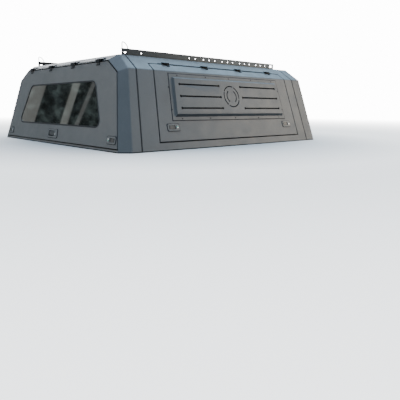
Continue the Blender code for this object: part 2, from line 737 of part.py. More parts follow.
def door_panel():
    made = leaf(door_planes(1), DOOR_FACES[1])
    for y, z in DOOR_LATCH_YZ:
        made = cut(made, latch_hole(0.0770, 0.0300, (y, z * SIDE_STRETCH), side_matrix()))
    for y, toward in zip(DOOR_STRUT_Y, (1, -1)):
        _, d = door_pivots(1, y)
        low, high = span(y + toward * PLATE[0], y + toward * PLATE[1])
        foot_a = side_point(1, 0, d.z + 0.036, -0.002)
        foot_b = side_point(1, 0, d.z - 0.024, -0.002)
        outline = [(foot_a.x, foot_a.z), (foot_b.x, foot_b.z), (d.x - 0.003, d.z - 0.008), (d.x - 0.008, d.z - 0.003),
                   (d.x - 0.008, d.z + 0.004), (d.x - 0.002, d.z + 0.009)]
        plate = slab([(x, -z) for x, z in outline], low, high, frame_at((0, 0, 0), (1, 0, 0), (0, 0, -1)))
        stud = rod_between((d.x, y + toward * (PLATE[0] + 0.001), d.z), (d.x, y - toward * 0.0055, d.z), STUD_R)
        made = join(made, plate, stud)
    return made


COVER_FLANGE = [(-0.4605, 0.172), (0.622, 0.172), (0.602, 0.446), (-0.4245, 0.446)]
COVER_FOOT = [(-0.4360, 0.191), (0.599, 0.191), (0.5815, 0.427), (-0.4050, 0.427)]
COVER_TOP = [(-0.4275, 0.204), (0.590, 0.204), (0.5740, 0.415), (-0.3995, 0.415)]
SLOTS = [(-0.375, -0.022, 0.381), (-0.382, -0.022, 0.310), (-0.390, -0.022, 0.239),
         (0.165, 0.558, 0.381), (0.172, 0.563, 0.310), (0.176, 0.567, 0.239)]
BOSS = (0.073, 0.3155, 0.070)   # y, z and radius of the round of arc slots in the middle of the cover
# start angle, end angle and share of the radius: an outer round held by four bridges, and two plain inner arcs
EMBLEM_ARCS = [(-12.0, 62.0, 1.0), (69.0, 149.0, 1.0), (156.0, 231.0, 1.0), (238.0, 341.0, 1.0),
               (125.0, 235.0, 0.62), (-55.0, 55.0, 0.62)]


def arc_slot(centre, radius, low, high, half=0.0036, steps=12):
    """The outline of a curved slot between two angles."""
    made = []
    for r, run in ((radius + half, range(steps + 1)), (radius - half, range(steps, -1, -1))):
        for k in run:
            a = math.radians(low + (high - low) * k / steps)
            made.append((centre[0] + r * math.cos(a), centre[1] + r * math.sin(a)))
    return made


def door_cover():
    """A pressed tray with a flat riveted flange, six long slots and a round of arc slots."""
    bm = bmesh.new()

    def ring(outline, out):
        return [bm.verts.new((y, z, out)) for y, z in up_side(outline)]

    def shrink(outline, d):
        return offset_outline(outline, -d)

    lift = 0.0003
    rings = [ring(COVER_FLANGE, lift), ring(COVER_FLANGE, lift + 0.0018), ring(COVER_FOOT, lift + 0.0018), ring(COVER_TOP, COVER_H)]
    inner = [ring(shrink(COVER_TOP, 0.0015), COVER_H - 0.0025), ring(shrink(COVER_FOOT, 0.0020), lift)]
    for a, b in zip(rings, rings[1:]):
        for i in range(4):
            j = (i + 1) % 4
            bm.faces.new((a[i], a[j], b[j], b[i]))
    bm.faces.new(rings[-1])
    bm.faces.new(inner[0][::-1])
    for a, b in ((inner[0], inner[1]), (inner[1], rings[0])):
        for i in range(4):
            j = (i + 1) % 4
            bm.faces.new((a[i], a[j], b[j], b[i]))
    bmesh.ops.recalc_face_normals(bm, faces=bm.faces)
    bm.transform(side_matrix())
    made = helper(bm)
    r, w = 0.0090, 0.0050
    for y0, y1, z in SLOTS:
        v = z * SIDE_STRETCH
        a0 = math.asin(w / r)
        steps = 5
        outline = []
        for k in range(steps + 1):
            a = a0 + math.pi * 0 + (2 * math.pi - 2 * a0) * k / steps
            outline.append((y0 + r + r * math.cos(a), v + r * math.sin(a)))
        for k in range(steps + 1):
            a = math.pi + a0 + (2 * math.pi - 2 * a0) * k / steps
            outline.append((y1 - r + r * math.cos(a), v + r * math.sin(a)))
        made = cut(made, slab(outline, COVER_H - 0.006, COVER_H + 0.006, side_matrix()))
    cy, cz, radius = BOSS
    centre = (cy, cz * SIDE_STRETCH)
    for low, high, r in EMBLEM_ARCS:
        made = cut(made, slab(arc_slot(centre, radius * r, low, high), COVER_H - 0.006, COVER_H + 0.006, side_matrix()))
    return made


# ------------------------------------------------------------------------------------------------ hinges
def hull(points):
    """The convex outline around flat points, anticlockwise."""
    points = sorted(points)

    def half(run):
        chain = []
        for p in run:
            while len(chain) > 1 and ((chain[-1][0] - chain[-2][0]) * (p[1] - chain[-2][1])
                                      - (chain[-1][1] - chain[-2][1]) * (p[0] - chain[-2][0])) <= 1e-12:
                chain.pop()
            chain.append(p)
        return chain[:-1]

    return half(points) + half(points[::-1])


def knuckle(lay, axis, a, b, foot):
    """A hinge knuckle with its foot, as one prism along the axis. lay: X up the sheet, Y out of it, Z along the axis."""
    centre = lay.inverted() @ Vector(axis)
    return slab(hull(circle(KNUCKLE_R, 14, centre.x, centre.y, 0.1) + foot), a, b, lay)


def hinge_bar(lay, axis, stations, start, size, half):
    """The frame side of a row of lift-off hinges, on one slim strip beside the opening. Each frame leaf and its
    knuckle take one end of the hinge's width: the end towards +Z of the lay where half is 1, the other where it is -1."""
    width, parting, reach, _ = size
    centre = lay.inverted() @ Vector(axis)
    ends = stations[0] - 0.060, stations[-1] + 0.060
    made = slab([(start, 0.0004), (start + 0.004, 0.0004), (start + 0.004, 0.0016), (start, 0.0016)], *ends, lay)
    for at_y in stations:
        a, b = span(at_y + half * (parting + 0.0004), at_y + half * width / 2)
        foot = [(start - 0.0030, 0.0009), (start + 0.0045, 0.0009), (start + 0.0045, 0.0030)]
        made = join(made, slab([(start + 0.0004, 0.0003), (reach - 0.002, 0.0003), (reach, 0.0010), (reach, 0.0024), (reach - 0.002, 0.0034), (start + 0.0004, 0.0034)],
                               a + 0.0005, b - 0.0005, lay))
        made = join(made, knuckle(lay, axis, a, b, foot))
        made = cut(made, slab(circle(BORE_R, 12, centre.x, centre.y), a - 0.01, b + 0.01, lay))
    return made


def hinge_leaf(lay, axis, at_y, size, half):
    """The moving side of a hinge, on the rest of its width: leaf, knuckle and the pin that both halves share."""
    width, parting, _, length = size
    centre = lay.inverted() @ Vector(axis)
    a, b = span(at_y + half * (parting - 0.0004), at_y - half * width / 2)
    made = slab([(-length, 0.0010), (-length + 0.002, 0.0003), (-0.0085, 0.0003), (-0.0085, 0.0034), (-length + 0.002, 0.0034), (-length, 0.0024)],
                a + 0.0005, b - 0.0005, lay)
    made = join(made, knuckle(lay, axis, a, b, [(-0.0100, 0.0030), (-0.0100, 0.0009), (-0.0010, 0.0009)]))
    low, high = span(at_y - half * (width / 2 - 0.004), at_y + half * (width / 2 + 0.0012))
    return join(made, slab(circle(PIN_R, 10, centre.x, centre.y), low, high, lay))


def door_lay():
    return frame_at(shoulder_point(1, 0, DOOR_TOP_Z), SHOULDER_UP[1], SHOULDER_N[1])


def header_lay():
    up = Vector((0, HEADER_N.z, -HEADER_N.y))
    return frame_at((0, hatch_y(HATCH_TOP[1]), HATCH_TOP[1]), up, HEADER_N)


def hatch_lay():
    return frame_at((0, hatch_y(HATCH_TOP[1]), HATCH_TOP[1]), HATCH_UP, HATCH_N)


# ------------------------------------------------------------------------------------------------ struts
def strut_tube(upper, lower, across):
    """The cylinder: an eye on the frame's stud, a neck and a tube with a blind bore."""
    upper, lower, across = Vector(upper), Vector(lower), Vector(across).normalized()
    along = (lower - upper).normalized()
    made = rod_between(upper - across * 0.006, upper + across * 0.006, EYE_R)
    made = join(made, rod_between(upper + along * 0.005, upper + along * 0.018, 0.0045))
    made = join(made, rod_between(upper + along * 0.015, upper + along * 0.200, TUBE_R))
    made = cut(made, rod_between(upper + along * 0.021, upper + along * 0.230, ROD_R + 0.0008, 10))
    return cut(made, rod_between(upper - across * 0.02, upper + across * 0.02, STUD_R + 0.0006))


def strut_rod(upper, lower, across):
    upper, lower, across = Vector(upper), Vector(lower), Vector(across).normalized()
    along = (upper - lower).normalized()
    made = rod_between(lower - across * 0.006, lower + across * 0.006, EYE_R)
    made = join(made, rod_between(lower + along * 0.0055, lower + along * ((upper - lower).length - 0.028), ROD_R, 10))
    return cut(made, rod_between(lower - across * 0.02, lower + across * 0.02, STUD_R + 0.0006))


# ------------------------------------------------------------------------------------------------ latches
def latch_housing(matrix):
    """Bezel, body and pocket of a folding-handle latch, with its key cylinder. Local frame: centre at 0, Z out."""
    w, h = LATCH[0] / 2, LATCH[1] / 2
    bezel = rounded([(-w, -h), (w, -h), (w, h), (-w, h)], [0.006] * 4, 2)
    made = slab(bezel, 0.0003, 0.0040, matrix)
    made = join(made, block((-0.0382, -0.0147, -0.026), (0.0382, 0.0147, 0.0020), matrix))
    made = cut(made, block((-0.0355, -0.0122, -0.013), (0.0130, 0.0122, 0.010), matrix))
    made = join(made, slab(circle(0.0085, 14, 0.0260, 0.0), 0.0010, 0.0062, matrix))
    slot = block((0.0255, -0.0055, 0.0048), (0.0265, 0.0055, 0.010), matrix)
    return cut(made, slot)


LATCH_HINGE = (0.0085, -0.0035)   # local x and z of the handle's axis


def latch_handle(matrix):
    """The folding handle: a shaped paddle with its barrel at the key end."""
    outline = [(-0.0340, 0.0035), (-0.0320, 0.0048), (0.0060, 0.0042), (0.0098, 0.0002), (0.0098, -0.0060),
               (0.0065, -0.0068), (0.0030, -0.0030), (-0.0340, -0.0010)]
    turn = matrix @ frame_at((0, 0, 0), (1, 0, 0), (0, 0, 1))
    return slab(outline, -0.0112, 0.0112, turn)


def paddle_housing(matrix):
    w, h = PADDLE[0] / 2, PADDLE[1] / 2
    bezel = rounded([(-w, -h), (w, -h), (w, h), (-w, h)], [0.008] * 4, 2)
    made = slab(bezel, 0.0003, 0.0040, matrix)
    made = join(made, block((-0.0615, -0.0205, -0.030), (0.0615, 0.0205, 0.0020), matrix))
    made = cut(made, block((-0.0580, -0.0175, -0.022), (0.0300, 0.0190, 0.010), matrix))
    made = join(made, slab(circle(0.0095, 14, 0.0460, 0.0), 0.0010, 0.0062, matrix))
    return cut(made, block((0.0455, -0.0060, 0.0048), (0.0465, 0.0060, 0.010), matrix))


PADDLE_HINGE = (0.0135, -0.0030)  # local y and z of the paddle's axis


def paddle_handle(matrix):
    outline = [(-0.0120, -0.0050), (-0.0100, -0.0070), (0.0130, -0.0062), (0.0163, -0.0035), (0.0163, 0.0000),
               (0.0130, 0.0020), (-0.0100, -0.0005), (-0.0120, -0.0018)]
    turn = matrix @ frame_at((0, 0, 0), (0, 1, 0), (0, 0, 1))
    return slab(outline, -0.0560, 0.0280, turn)


def at(matrix, x, y, z):
    return matrix @ Matrix.Translation((x, y, z))


# ------------------------------------------------------------------------------------------------ assembly
def both(make, name, slot, pivot=None, smooth=None):
    """A right-hand node and its mirrored left-hand twin."""
    for side, mirrored in (("right", False), ("left", True)):
        node = finish(make(), name % side, slot, smooth, mirrored)
        at_pivot = None
        if pivot is not None:
            at_pivot = Vector(pivot)
            if mirrored:
                at_pivot.x = -at_pivot.x
        place(node, at_pivot)


place(finish(rear_frame(), "rear_frame", "powder_coat", 30))
both(side_frame, "side_frame_%s", "powder_coat", smooth=30)
place(finish(front_frame(), "front_frame", "powder_coat", 30))
place(finish(front_glass(), "front_window_glass", "tinted_glass"))
place(finish(roof_panel(), "roof_panel", "powder_coat_roof", 30))
place(finish(base_seal(), "base_seal", "seal_rubber"))
both(rack_rail, "rack_rail_%s", "rail_coat")

AXIS_D, AXIS_H = door_axis(1), hatch_axis()
place(finish(hatch_panel(), "hatch_panel", "powder_coat", 30), AXIS_H)
place(finish(hatch_gasket(), "hatch_gasket", "seal_rubber"), AXIS_H)
place(finish(hatch_glass(), "hatch_glass", "tinted_glass"), AXIS_H)
place(finish(seal(hatch_planes(), HATCH_FACES), "hatch_seal", "seal_rubber"))
both(door_panel, "door_panel_%s", "powder_coat", AXIS_D, 30)
both(door_cover, "door_cover_%s", "powder_coat", AXIS_D, 30)
both(lambda: seal(door_planes(1), DOOR_FACES[1]), "door_seal_%s", "seal_rubber")

both(lambda: hinge_bar(door_lay(), door_axis(1), DOOR_HINGE_Y, 0.0055, DOOR_HINGE, -1), "door_hinge_bar_%s", "black_hardware", smooth=40)
place(finish(hinge_bar(header_lay(), hatch_axis(), HATCH_HINGE_X, 0.0060, HATCH_HINGE, 1), "hatch_hinge_bar", "black_hardware", 40))
for number, y in enumerate(DOOR_HINGE_Y, 1):
    both(lambda: hinge_leaf(door_lay(), door_axis(1), y, DOOR_HINGE, -1), "door_hinge_%s_" + str(number), "black_hardware", AXIS_D, 40)
for number, x in enumerate(HATCH_HINGE_X, 1):
    place(finish(hinge_leaf(hatch_lay(), hatch_axis(), x, HATCH_HINGE, 1), "hatch_hinge_%d" % number, "black_hardware", 40), AXIS_H)

for where, y in zip(("rear", "front"), DOOR_STRUT_Y):
    upper, lower = door_pivots(1, y)
    both(lambda: strut_tube(upper, lower, (0, 1, 0)), "door_strut_tube_%s_" + where, "strut_tube", upper, 40)
    both(lambda: strut_rod(upper, lower, (0, 1, 0)), "door_strut_rod_%s_" + where, "bright_steel", lower, 40)
upper, lower = hatch_pivots(HATCH_STRUT_X)
both(lambda: strut_tube(upper, lower, (1, 0, 0)), "hatch_strut_tube_%s", "strut_tube", upper, 40)
both(lambda: strut_rod(upper, lower, (1, 0, 0)), "hatch_strut_rod_%s", "bright_steel", lower, 40)

HATCH_STRETCH = math.hypot(1, HATCH_LEAN)
for where, (y, z) in zip(("rear", "front"), DOOR_LATCH_YZ):
    local = at(side_matrix(), y, z * SIDE_STRETCH, 0)
    both(lambda: latch_housing(local), "door_latch_%s_" + where, "latch_coat", smooth=30)
    both(lambda: latch_handle(local), "door_handle_%s_" + where, "latch_coat",
         local @ Vector((LATCH_HINGE[0], 0, LATCH_HINGE[1])), 30)
for name, s in (("right", 1), ("left", -1)):
    local = at(hatch_matrix(), s * HATCH_LATCH_XZ[0], HATCH_LATCH_XZ[1] * HATCH_STRETCH, 0)
    if s > 0:
        local = local @ Matrix.Rotation(math.pi, 4, "Z")      # the key ends point at each other
    place(finish(latch_housing(local), "hatch_latch_" + name, "latch_coat", 30))
    place(finish(latch_handle(local), "hatch_handle_" + name, "latch_coat", 30),
          local @ Vector((LATCH_HINGE[0], 0, LATCH_HINGE[1])))
local = at(hatch_matrix(), 0, PADDLE_Z * HATCH_STRETCH, 0)
place(finish(paddle_housing(local), "hatch_paddle_housing", "latch_coat", 30))
place(finish(paddle_handle(local), "hatch_paddle", "latch_coat", 30), local @ Vector((0, PADDLE_HINGE[0], PADDLE_HINGE[1])))
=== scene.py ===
import json
import math

import bmesh
import bpy
from mathutils import Matrix, Vector


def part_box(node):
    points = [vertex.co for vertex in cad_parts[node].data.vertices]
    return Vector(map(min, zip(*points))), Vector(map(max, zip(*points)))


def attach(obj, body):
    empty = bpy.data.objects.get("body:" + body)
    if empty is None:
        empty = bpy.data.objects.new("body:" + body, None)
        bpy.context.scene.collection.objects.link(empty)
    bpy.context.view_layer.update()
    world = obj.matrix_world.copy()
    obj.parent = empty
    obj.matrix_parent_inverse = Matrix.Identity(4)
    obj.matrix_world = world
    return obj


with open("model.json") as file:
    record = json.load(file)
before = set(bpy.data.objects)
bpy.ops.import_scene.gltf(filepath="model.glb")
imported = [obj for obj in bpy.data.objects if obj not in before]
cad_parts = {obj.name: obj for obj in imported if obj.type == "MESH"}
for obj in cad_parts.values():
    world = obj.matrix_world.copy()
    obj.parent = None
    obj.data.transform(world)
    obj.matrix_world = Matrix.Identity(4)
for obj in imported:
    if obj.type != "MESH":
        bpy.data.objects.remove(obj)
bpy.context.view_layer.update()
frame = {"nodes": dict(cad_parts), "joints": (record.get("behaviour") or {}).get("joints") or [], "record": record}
NODES = frame["nodes"]
RECORD = frame["record"]
FRAME_BODY = "canopy_frame"

# ------------------------------------------------------------------------------------------------ the frame's planes
# The same surfaces as in the CAD model, in its shared frame.
SIDE_LEAN, BASE_HALF_WIDTH = 0.3255, 0.884
HATCH_LEAN = 0.2188
HATCH_Y = -0.85 - 0.0482
Y0 = -0.0482
SIDE_STRETCH = math.hypot(1, SIDE_LEAN)
HATCH_STRETCH = math.hypot(1, HATCH_LEAN)
JOINTS = {j["name"]: j for j in frame["joints"]}


def frame_at(origin, ex, ey):
    ex = Vector(ex).normalized()
    ez = ex.cross(Vector(ey)).normalized()
    ey = ez.cross(ex)
    return Matrix((
        (ex.x, ey.x, ez.x, origin[0]),
        (ex.y, ey.y, ez.y, origin[1]),
        (ex.z, ey.z, ez.z, origin[2]),
        (0, 0, 0, 1)))


def mirror_x(matrix):
    """The same place on the other side of the canopy, still right-handed: X is turned round."""
    m = Matrix.Scale(-1, 4, (1, 0, 0)) @ matrix
    return m @ Matrix.Scale(-1, 4, (1, 0, 0))


SIDE = frame_at((BASE_HALF_WIDTH, Y0, 0), (0, 1, 0), (-SIDE_LEAN, 0, 1))          # X forward, Y up the side, Z out
REAR = frame_at((0, HATCH_Y, 0), (1, 0, 0), (0, HATCH_LEAN, 1))                   # X right, Y up the hatch, Z out


def on_side(y, z, out=0.0):
    return SIDE @ Matrix.Translation((y, z * SIDE_STRETCH, out))


def on_rear(x, z, out=0.0):
    return REAR @ Matrix.Translation((x, z * HATCH_STRETCH, out))


# ------------------------------------------------------------------------------------------------ materials
def nodes_of(name, rough, metal=0.0):
    m = bpy.data.materials.new(name)
    m.use_nodes = True
    tree = m.node_tree
    shader = tree.nodes["Principled BSDF"]
    shader.inputs["Roughness"].default_value = rough
    shader.inputs["Metallic"].default_value = metal
    return m, tree, shader


def add(tree, kind, **values):
    node = tree.nodes.new(kind)
    for key, value in values.items():
        if hasattr(node, key):
            setattr(node, key, value)
        else:
            node.inputs[key].default_value = value
    return node


def coords(tree, scale=(1, 1, 1)):
    where = tree.nodes.new("ShaderNodeTexCoord")
    if scale == (1, 1, 1):
        return where.outputs["Object"]
    mapping = tree.nodes.new("ShaderNodeMapping")
    mapping.inputs["Scale"].default_value = scale
    tree.links.new(where.outputs["Object"], mapping.inputs["Vector"])
    return mapping.outputs["Vector"]


def noise(tree, vector, scale, detail=3.0, rough=0.5):
    node = tree.nodes.new("ShaderNodeTexNoise")
    node.inputs["Scale"].default_value = scale
    node.inputs["Detail"].default_value = detail
    node.inputs["Roughness"].default_value = rough
    tree.links.new(vector, node.inputs["Vector"])
    return node.outputs["Fac"]


def ramp(tree, value, stops):
    node = tree.nodes.new("ShaderNodeValToRGB")
    elements = node.color_ramp.elements
    while len(elements) < len(stops):
        elements.new(0.5)
    for element, (place, colour) in zip(elements, stops):
        element.position = place
        element.color = (*colour, 1.0) if len(colour) == 3 else colour
    tree.links.new(value, node.inputs["Fac"])
    return node.outputs["Color"]


def span_of(tree, value, low, high, a=0.3, b=0.7):
    """value from a..b mapped on to low..high."""
    node = tree.nodes.new("ShaderNodeMapRange")
    node.inputs["From Min"].default_value = a
    node.inputs["From Max"].default_value = b
    node.inputs["To Min"].default_value = low
    node.inputs["To Max"].default_value = high
    tree.links.new(value, node.inputs["Value"])
    return node.outputs["Result"]


def mix(tree, factor, a, b, blend="MIX"):
    node = tree.nodes.new("ShaderNodeMix")
    node.data_type = "RGBA"
    node.blend_type = blend
    for socket, value in ((node.inputs[0], factor), (node.inputs[6], a), (node.inputs[7], b)):
        if isinstance(value, (int, float)):
            socket.default_value = value
        elif isinstance(value, tuple):
            socket.default_value = (*value, 1.0)
        else:
            tree.links.new(value, socket)
    return node.outputs[2]


def bumps(tree, shader, layers):
    """layers: (height, strength, distance in metres), finest last."""
    before = None
    for height, strength, distance in layers:
        node = tree.nodes.new("ShaderNodeBump")
        node.inputs["Strength"].default_value = strength
        node.inputs["Distance"].default_value = distance
        tree.links.new(height, node.inputs["Height"])
        if before:
            tree.links.new(before, node.inputs["Normal"])
        before = node.outputs["Normal"]
    tree.links.new(before, shader.inputs["Normal"])


def shade(colour, factor):
    return tuple(min(1.0, c * factor) for c in colour)


def powder_coat(name, colour, rough, grain=1.0, dust=(0.30, 0.29, 0.27), dust_share=0.10, painted_shade=None, painted_shade_colour=(0.006, 0.006, 0.0065), tone=None):
    """Textured polyester powder coat: a pebbled skin about a millimetre across, slow tone changes and settled dust.
    The painted-shade argument: a function that gives a 0 to 1 share of painted shade, near black, for the shader tree;
    tone: one that gives a colour to multiply by."""
    m, tree, shader = nodes_of(name, rough)
    c = coords(tree)
    cloud = noise(tree, c, 2.6, 4, 0.55)
    pebble = noise(tree, c, 780 * grain, 2, 0.5)
    fine = noise(tree, c, 2300 * grain, 1, 0.5)
    base = ramp(tree, cloud, [(0.30, shade(colour, 0.90)), (0.50, colour), (0.72, shade(colour, 1.09))])
    speck = ramp(tree, pebble, [(0.36, (0.86, 0.86, 0.86)), (0.52, (1.0, 1.0, 1.0)), (0.68, (1.12, 1.12, 1.13))])
    toned = mix(tree, 1.0, base, speck, "MULTIPLY")
    if tone:
        toned = mix(tree, 1.0, toned, tone(tree), "MULTIPLY")
    # dust settles on what faces up, in slow patches
    facing = tree.nodes.new("ShaderNodeTexCoord")
    split = tree.nodes.new("ShaderNodeSeparateXYZ")
    tree.links.new(facing.outputs["Normal"], split.inputs["Vector"])
    up = span_of(tree, split.outputs["Z"], 0.15, 1.0, 0.2, 1.0)
    patch = span_of(tree, noise(tree, c, 9.0, 6, 0.62), 0.0, 1.0, 0.42, 0.68)
    share = tree.nodes.new("ShaderNodeMath")
    share.operation = "MULTIPLY"
    tree.links.new(up, share.inputs[0])
    tree.links.new(patch, share.inputs[1])
    level = tree.nodes.new("ShaderNodeMath")
    level.operation = "MULTIPLY"
    level.inputs[1].default_value = dust_share
    tree.links.new(share.outputs[0], level.inputs[0])
    dusted_and_shaded = mix(tree, level.outputs[0], toned, dust)
    # painted shade: near black mixed in where the mask asks, for the shadow that falls in pockets, under bevels and at
    # the rail's foot
    if painted_shade:
        dusted_and_shaded = mix(tree, painted_shade(tree), dusted_and_shaded, painted_shade_colour)
    tree.links.new(dusted_and_shaded, shader.inputs["Base Color"])
    tree.links.new(span_of(tree, noise(tree, c, 14.0, 5, 0.6), rough - 0.05, rough + 0.07), shader.inputs["Roughness"])
    shader.inputs["Specular IOR Level"].default_value = 0.5
    bumps(tree, shader, [(pebble, 0.34, 0.00022), (fine, 0.16, 0.00008)])
    return m


def underside_shade(tree):
    """1 on faces that look clearly downwards: the mask of a painted shade on undersides."""
    facing = tree.nodes.new("ShaderNodeTexCoord")
    split = tree.nodes.new("ShaderNodeSeparateXYZ")
    tree.links.new(facing.outputs["Normal"], split.inputs["Vector"])
    return span_of(tree, split.outputs["Z"], 1.0, 0.0, -0.34, -0.10)


def pocket_floor_shade(normal, level, soft=0.0008, fold=True):
    """1 below the plane normal . p = level, on both sides of the middle where fold is set: the floor of a pocket, the
    mask of a painted shade there.
    """
    def made(tree):
        c = coords(tree)
        if fold:
            turned = tree.nodes.new("ShaderNodeVectorMath")
            turned.operation = "ABSOLUTE"
            tree.links.new(c, turned.inputs[0])
            c = turned.outputs["Vector"]
        along = tree.nodes.new("ShaderNodeVectorMath")
        along.operation = "DOT_PRODUCT"
        along.inputs[1].default_value = normal
        tree.links.new(c, along.inputs[0])
        return span_of(tree, along.outputs["Value"], 1.0, 0.0, level - soft, level + soft)
    return made


def shade_below_height(low, high):
    """1 at the height low and under it, 0 from high up: the mask of a painted shade band."""
    def made(tree):
        split = tree.nodes.new("ShaderNodeSeparateXYZ")
        tree.links.new(coords(tree), split.inputs["Vector"])
        return span_of(tree, split.outputs["Z"], 1.0, 0.0, low, high)
    return made


def tone_along_rail(tree):
    """A tone ramp along the rail: darker towards the rear end, paler and a little bluer towards the front."""
    split = tree.nodes.new("ShaderNodeSeparateXYZ")
    tree.links.new(coords(tree), split.inputs["Vector"])
    return ramp(tree, span_of(tree, split.outputs["Y"], 0.0, 1.0, -0.70, 0.25), [(0.0, (0.34, 0.36, 0.36)), (0.45, (0.55, 0.58, 0.58)), (1.0, (1.06, 1.12, 1.16))])


def slot_shade_mesh(name):
    """Near-black woven mesh, threads 0.4 mm apart, set behind the slots as painted shade."""
    m, tree, shader = nodes_of(name, 0.8)
    c = coords(tree)
    waves = []
    for axis in ("Y", "Z"):
        wave = tree.nodes.new("ShaderNodeTexWave")
        wave.bands_direction = axis
        wave.inputs["Scale"].default_value = 400.0
        wave.inputs["Distortion"].default_value = 0.2
        tree.links.new(c, wave.inputs["Vector"])
        waves.append(wave.outputs["Fac"])
    top = tree.nodes.new("ShaderNodeMath")
    top.operation = "MAXIMUM"
    tree.links.new(waves[0], top.inputs[0])
    tree.links.new(waves[1], top.inputs[1])
    tree.links.new(ramp(tree, top.outputs[0], [(0.3, (0.0010, 0.0010, 0.0010)), (0.9, (0.0060, 0.0060, 0.0062))]), shader.inputs["Base Color"])
    tree.links.new(span_of(tree, noise(tree, c, 60, 4), 0.70, 0.90), shader.inputs["Roughness"])
    shader.inputs["Specular IOR Level"].default_value = 0.15
    bumps(tree, shader, [(top.outputs[0], 0.5, 0.0002)])
    return m


def black_metal(name, colour, rough, metal=0.35, wear=(0.12, 0.12, 0.125), level=0.5):
    """Satin black coating over steel, with rubbed spots that show lighter metal."""
    m, tree, shader = nodes_of(name, rough, metal)
    c = coords(tree)
    rub = noise(tree, c, 160, 7, 0.62)
    body = ramp(tree, noise(tree, c, 45, 4), [(0.3, shade(colour, 0.75)), (0.7, shade(colour, 1.35))])
    worn = span_of(tree, rub, 0.0, 0.55, 0.60, 0.78)
    tree.links.new(mix(tree, worn, body, wear), shader.inputs["Base Color"])
    tree.links.new(span_of(tree, rub, rough - 0.08, rough + 0.12), shader.inputs["Roughness"])
    shader.inputs["Specular IOR Level"].default_value = level
    bumps(tree, shader, [(noise(tree, c, 420, 3), 0.22, 0.0002), (noise(tree, c, 1900, 2), 0.14, 0.00006)])
    return m


def bright_metal(name, colour, rough, stretch):
    """Ground steel with fine lines; stretch is low along the lines."""
    m, tree, shader = nodes_of(name, rough, 1.0)
    c = coords(tree, stretch)
    lines = noise(tree, c, 1.0, 5, 0.6)
    plain = coords(tree)
    tree.links.new(ramp(tree, lines, [(0.25, shade(colour, 0.80)), (0.75, shade(colour, 1.12))]), shader.inputs["Base Color"])
    tree.links.new(span_of(tree, noise(tree, plain, 60, 5), rough - 0.04, rough + 0.10), shader.inputs["Roughness"])
    bumps(tree, shader, [(lines, 0.12, 0.00005)])
    return m


def rubber(name, colour, top_highlight=0.0):
    """Extruded EPDM: dull, with a fine skin; the top-highlight argument: how far what faces up is painted pale grey, a
    painted highlight.
    """
    m, tree, shader = nodes_of(name, 0.72)
    c = coords(tree)
    bloom = noise(tree, c, 38, 6, 0.65)
    skin = ramp(tree, bloom, [(0.35, shade(colour, 0.8)), (0.55, colour), (0.80, shade(colour, 2.1))])
    # painted highlight: faces that look up are mixed towards pale grey
    if top_highlight:
        facing = tree.nodes.new("ShaderNodeTexCoord")
        split = tree.nodes.new("ShaderNodeSeparateXYZ")
        tree.links.new(facing.outputs["Normal"], split.inputs["Vector"])
        skin = mix(tree, span_of(tree, split.outputs["Z"], 0.0, top_highlight, 0.35, 0.75), skin, (0.36, 0.37, 0.36))
    tree.links.new(skin, shader.inputs["Base Color"])
    tree.links.new(span_of(tree, bloom, 0.62, 0.86), shader.inputs["Roughness"])
    bumps(tree, shader, [(noise(tree, c, 260, 4), 0.20, 0.0003), (noise(tree, c, 1500, 2), 0.22, 0.00009)])
    return m


def tinted_glass(name):
    """Privacy glass: nearly black, with a wiped film that dulls the gloss a little in patches."""
    m, tree, shader = nodes_of(name, 0.03)
    c = coords(tree)
    film = noise(tree, coords(tree, (1, 1, 0.35)), 11, 7, 0.62)
    tree.links.new(ramp(tree, film, [(0.35, (0.009, 0.009, 0.006)), (0.75, (0.016, 0.016, 0.011))]), shader.inputs["Base Color"])
    tree.links.new(span_of(tree, film, 0.015, 0.06, 0.35, 0.75), shader.inputs["Roughness"])
    shader.inputs["IOR"].default_value = 1.52
    shader.inputs["Specular IOR Level"].default_value = 0.62
    shader.inputs["Coat Weight"].default_value = 0.35
    shader.inputs["Coat Roughness"].default_value = 0.02
    bumps(tree, shader, [(noise(tree, c, 3.2, 1), 0.05, 0.0012), (noise(tree, c, 420, 3), 0.02, 0.00005)])
    return m


def glossy_paint(name, colour, rough=0.22, metal=0.2):
    m, tree, shader = nodes_of(name, rough, metal)
    c = coords(tree)
    peel = noise(tree, c, 210, 2)
    tree.links.new(ramp(tree, noise(tree, c, 30, 5), [(0.3, shade(colour, 0.8)), (0.75, shade(colour, 1.5))]), shader.inputs["Base Color"])
    tree.links.new(span_of(tree, noise(tree, c, 90, 6), rough - 0.06, rough + 0.14), shader.inputs["Roughness"])
    bumps(tree, shader, [(peel, 0.10, 0.0002)])
    return m


def plastic(name, colour, rough):
    m, tree, shader = nodes_of(name, rough)
    c = coords(tree)
    tree.links.new(ramp(tree, noise(tree, c, 220, 5), [(0.3, shade(colour, 0.82)), (0.75, shade(colour, 1.15))]), shader.inputs["Base Color"])
    tree.links.new(span_of(tree, noise(tree, c, 400, 3), rough - 0.06, rough + 0.10), shader.inputs["Roughness"])
    bumps(tree, shader, [(noise(tree, c, 1300, 2), 0.25, 0.00008)])
    return m


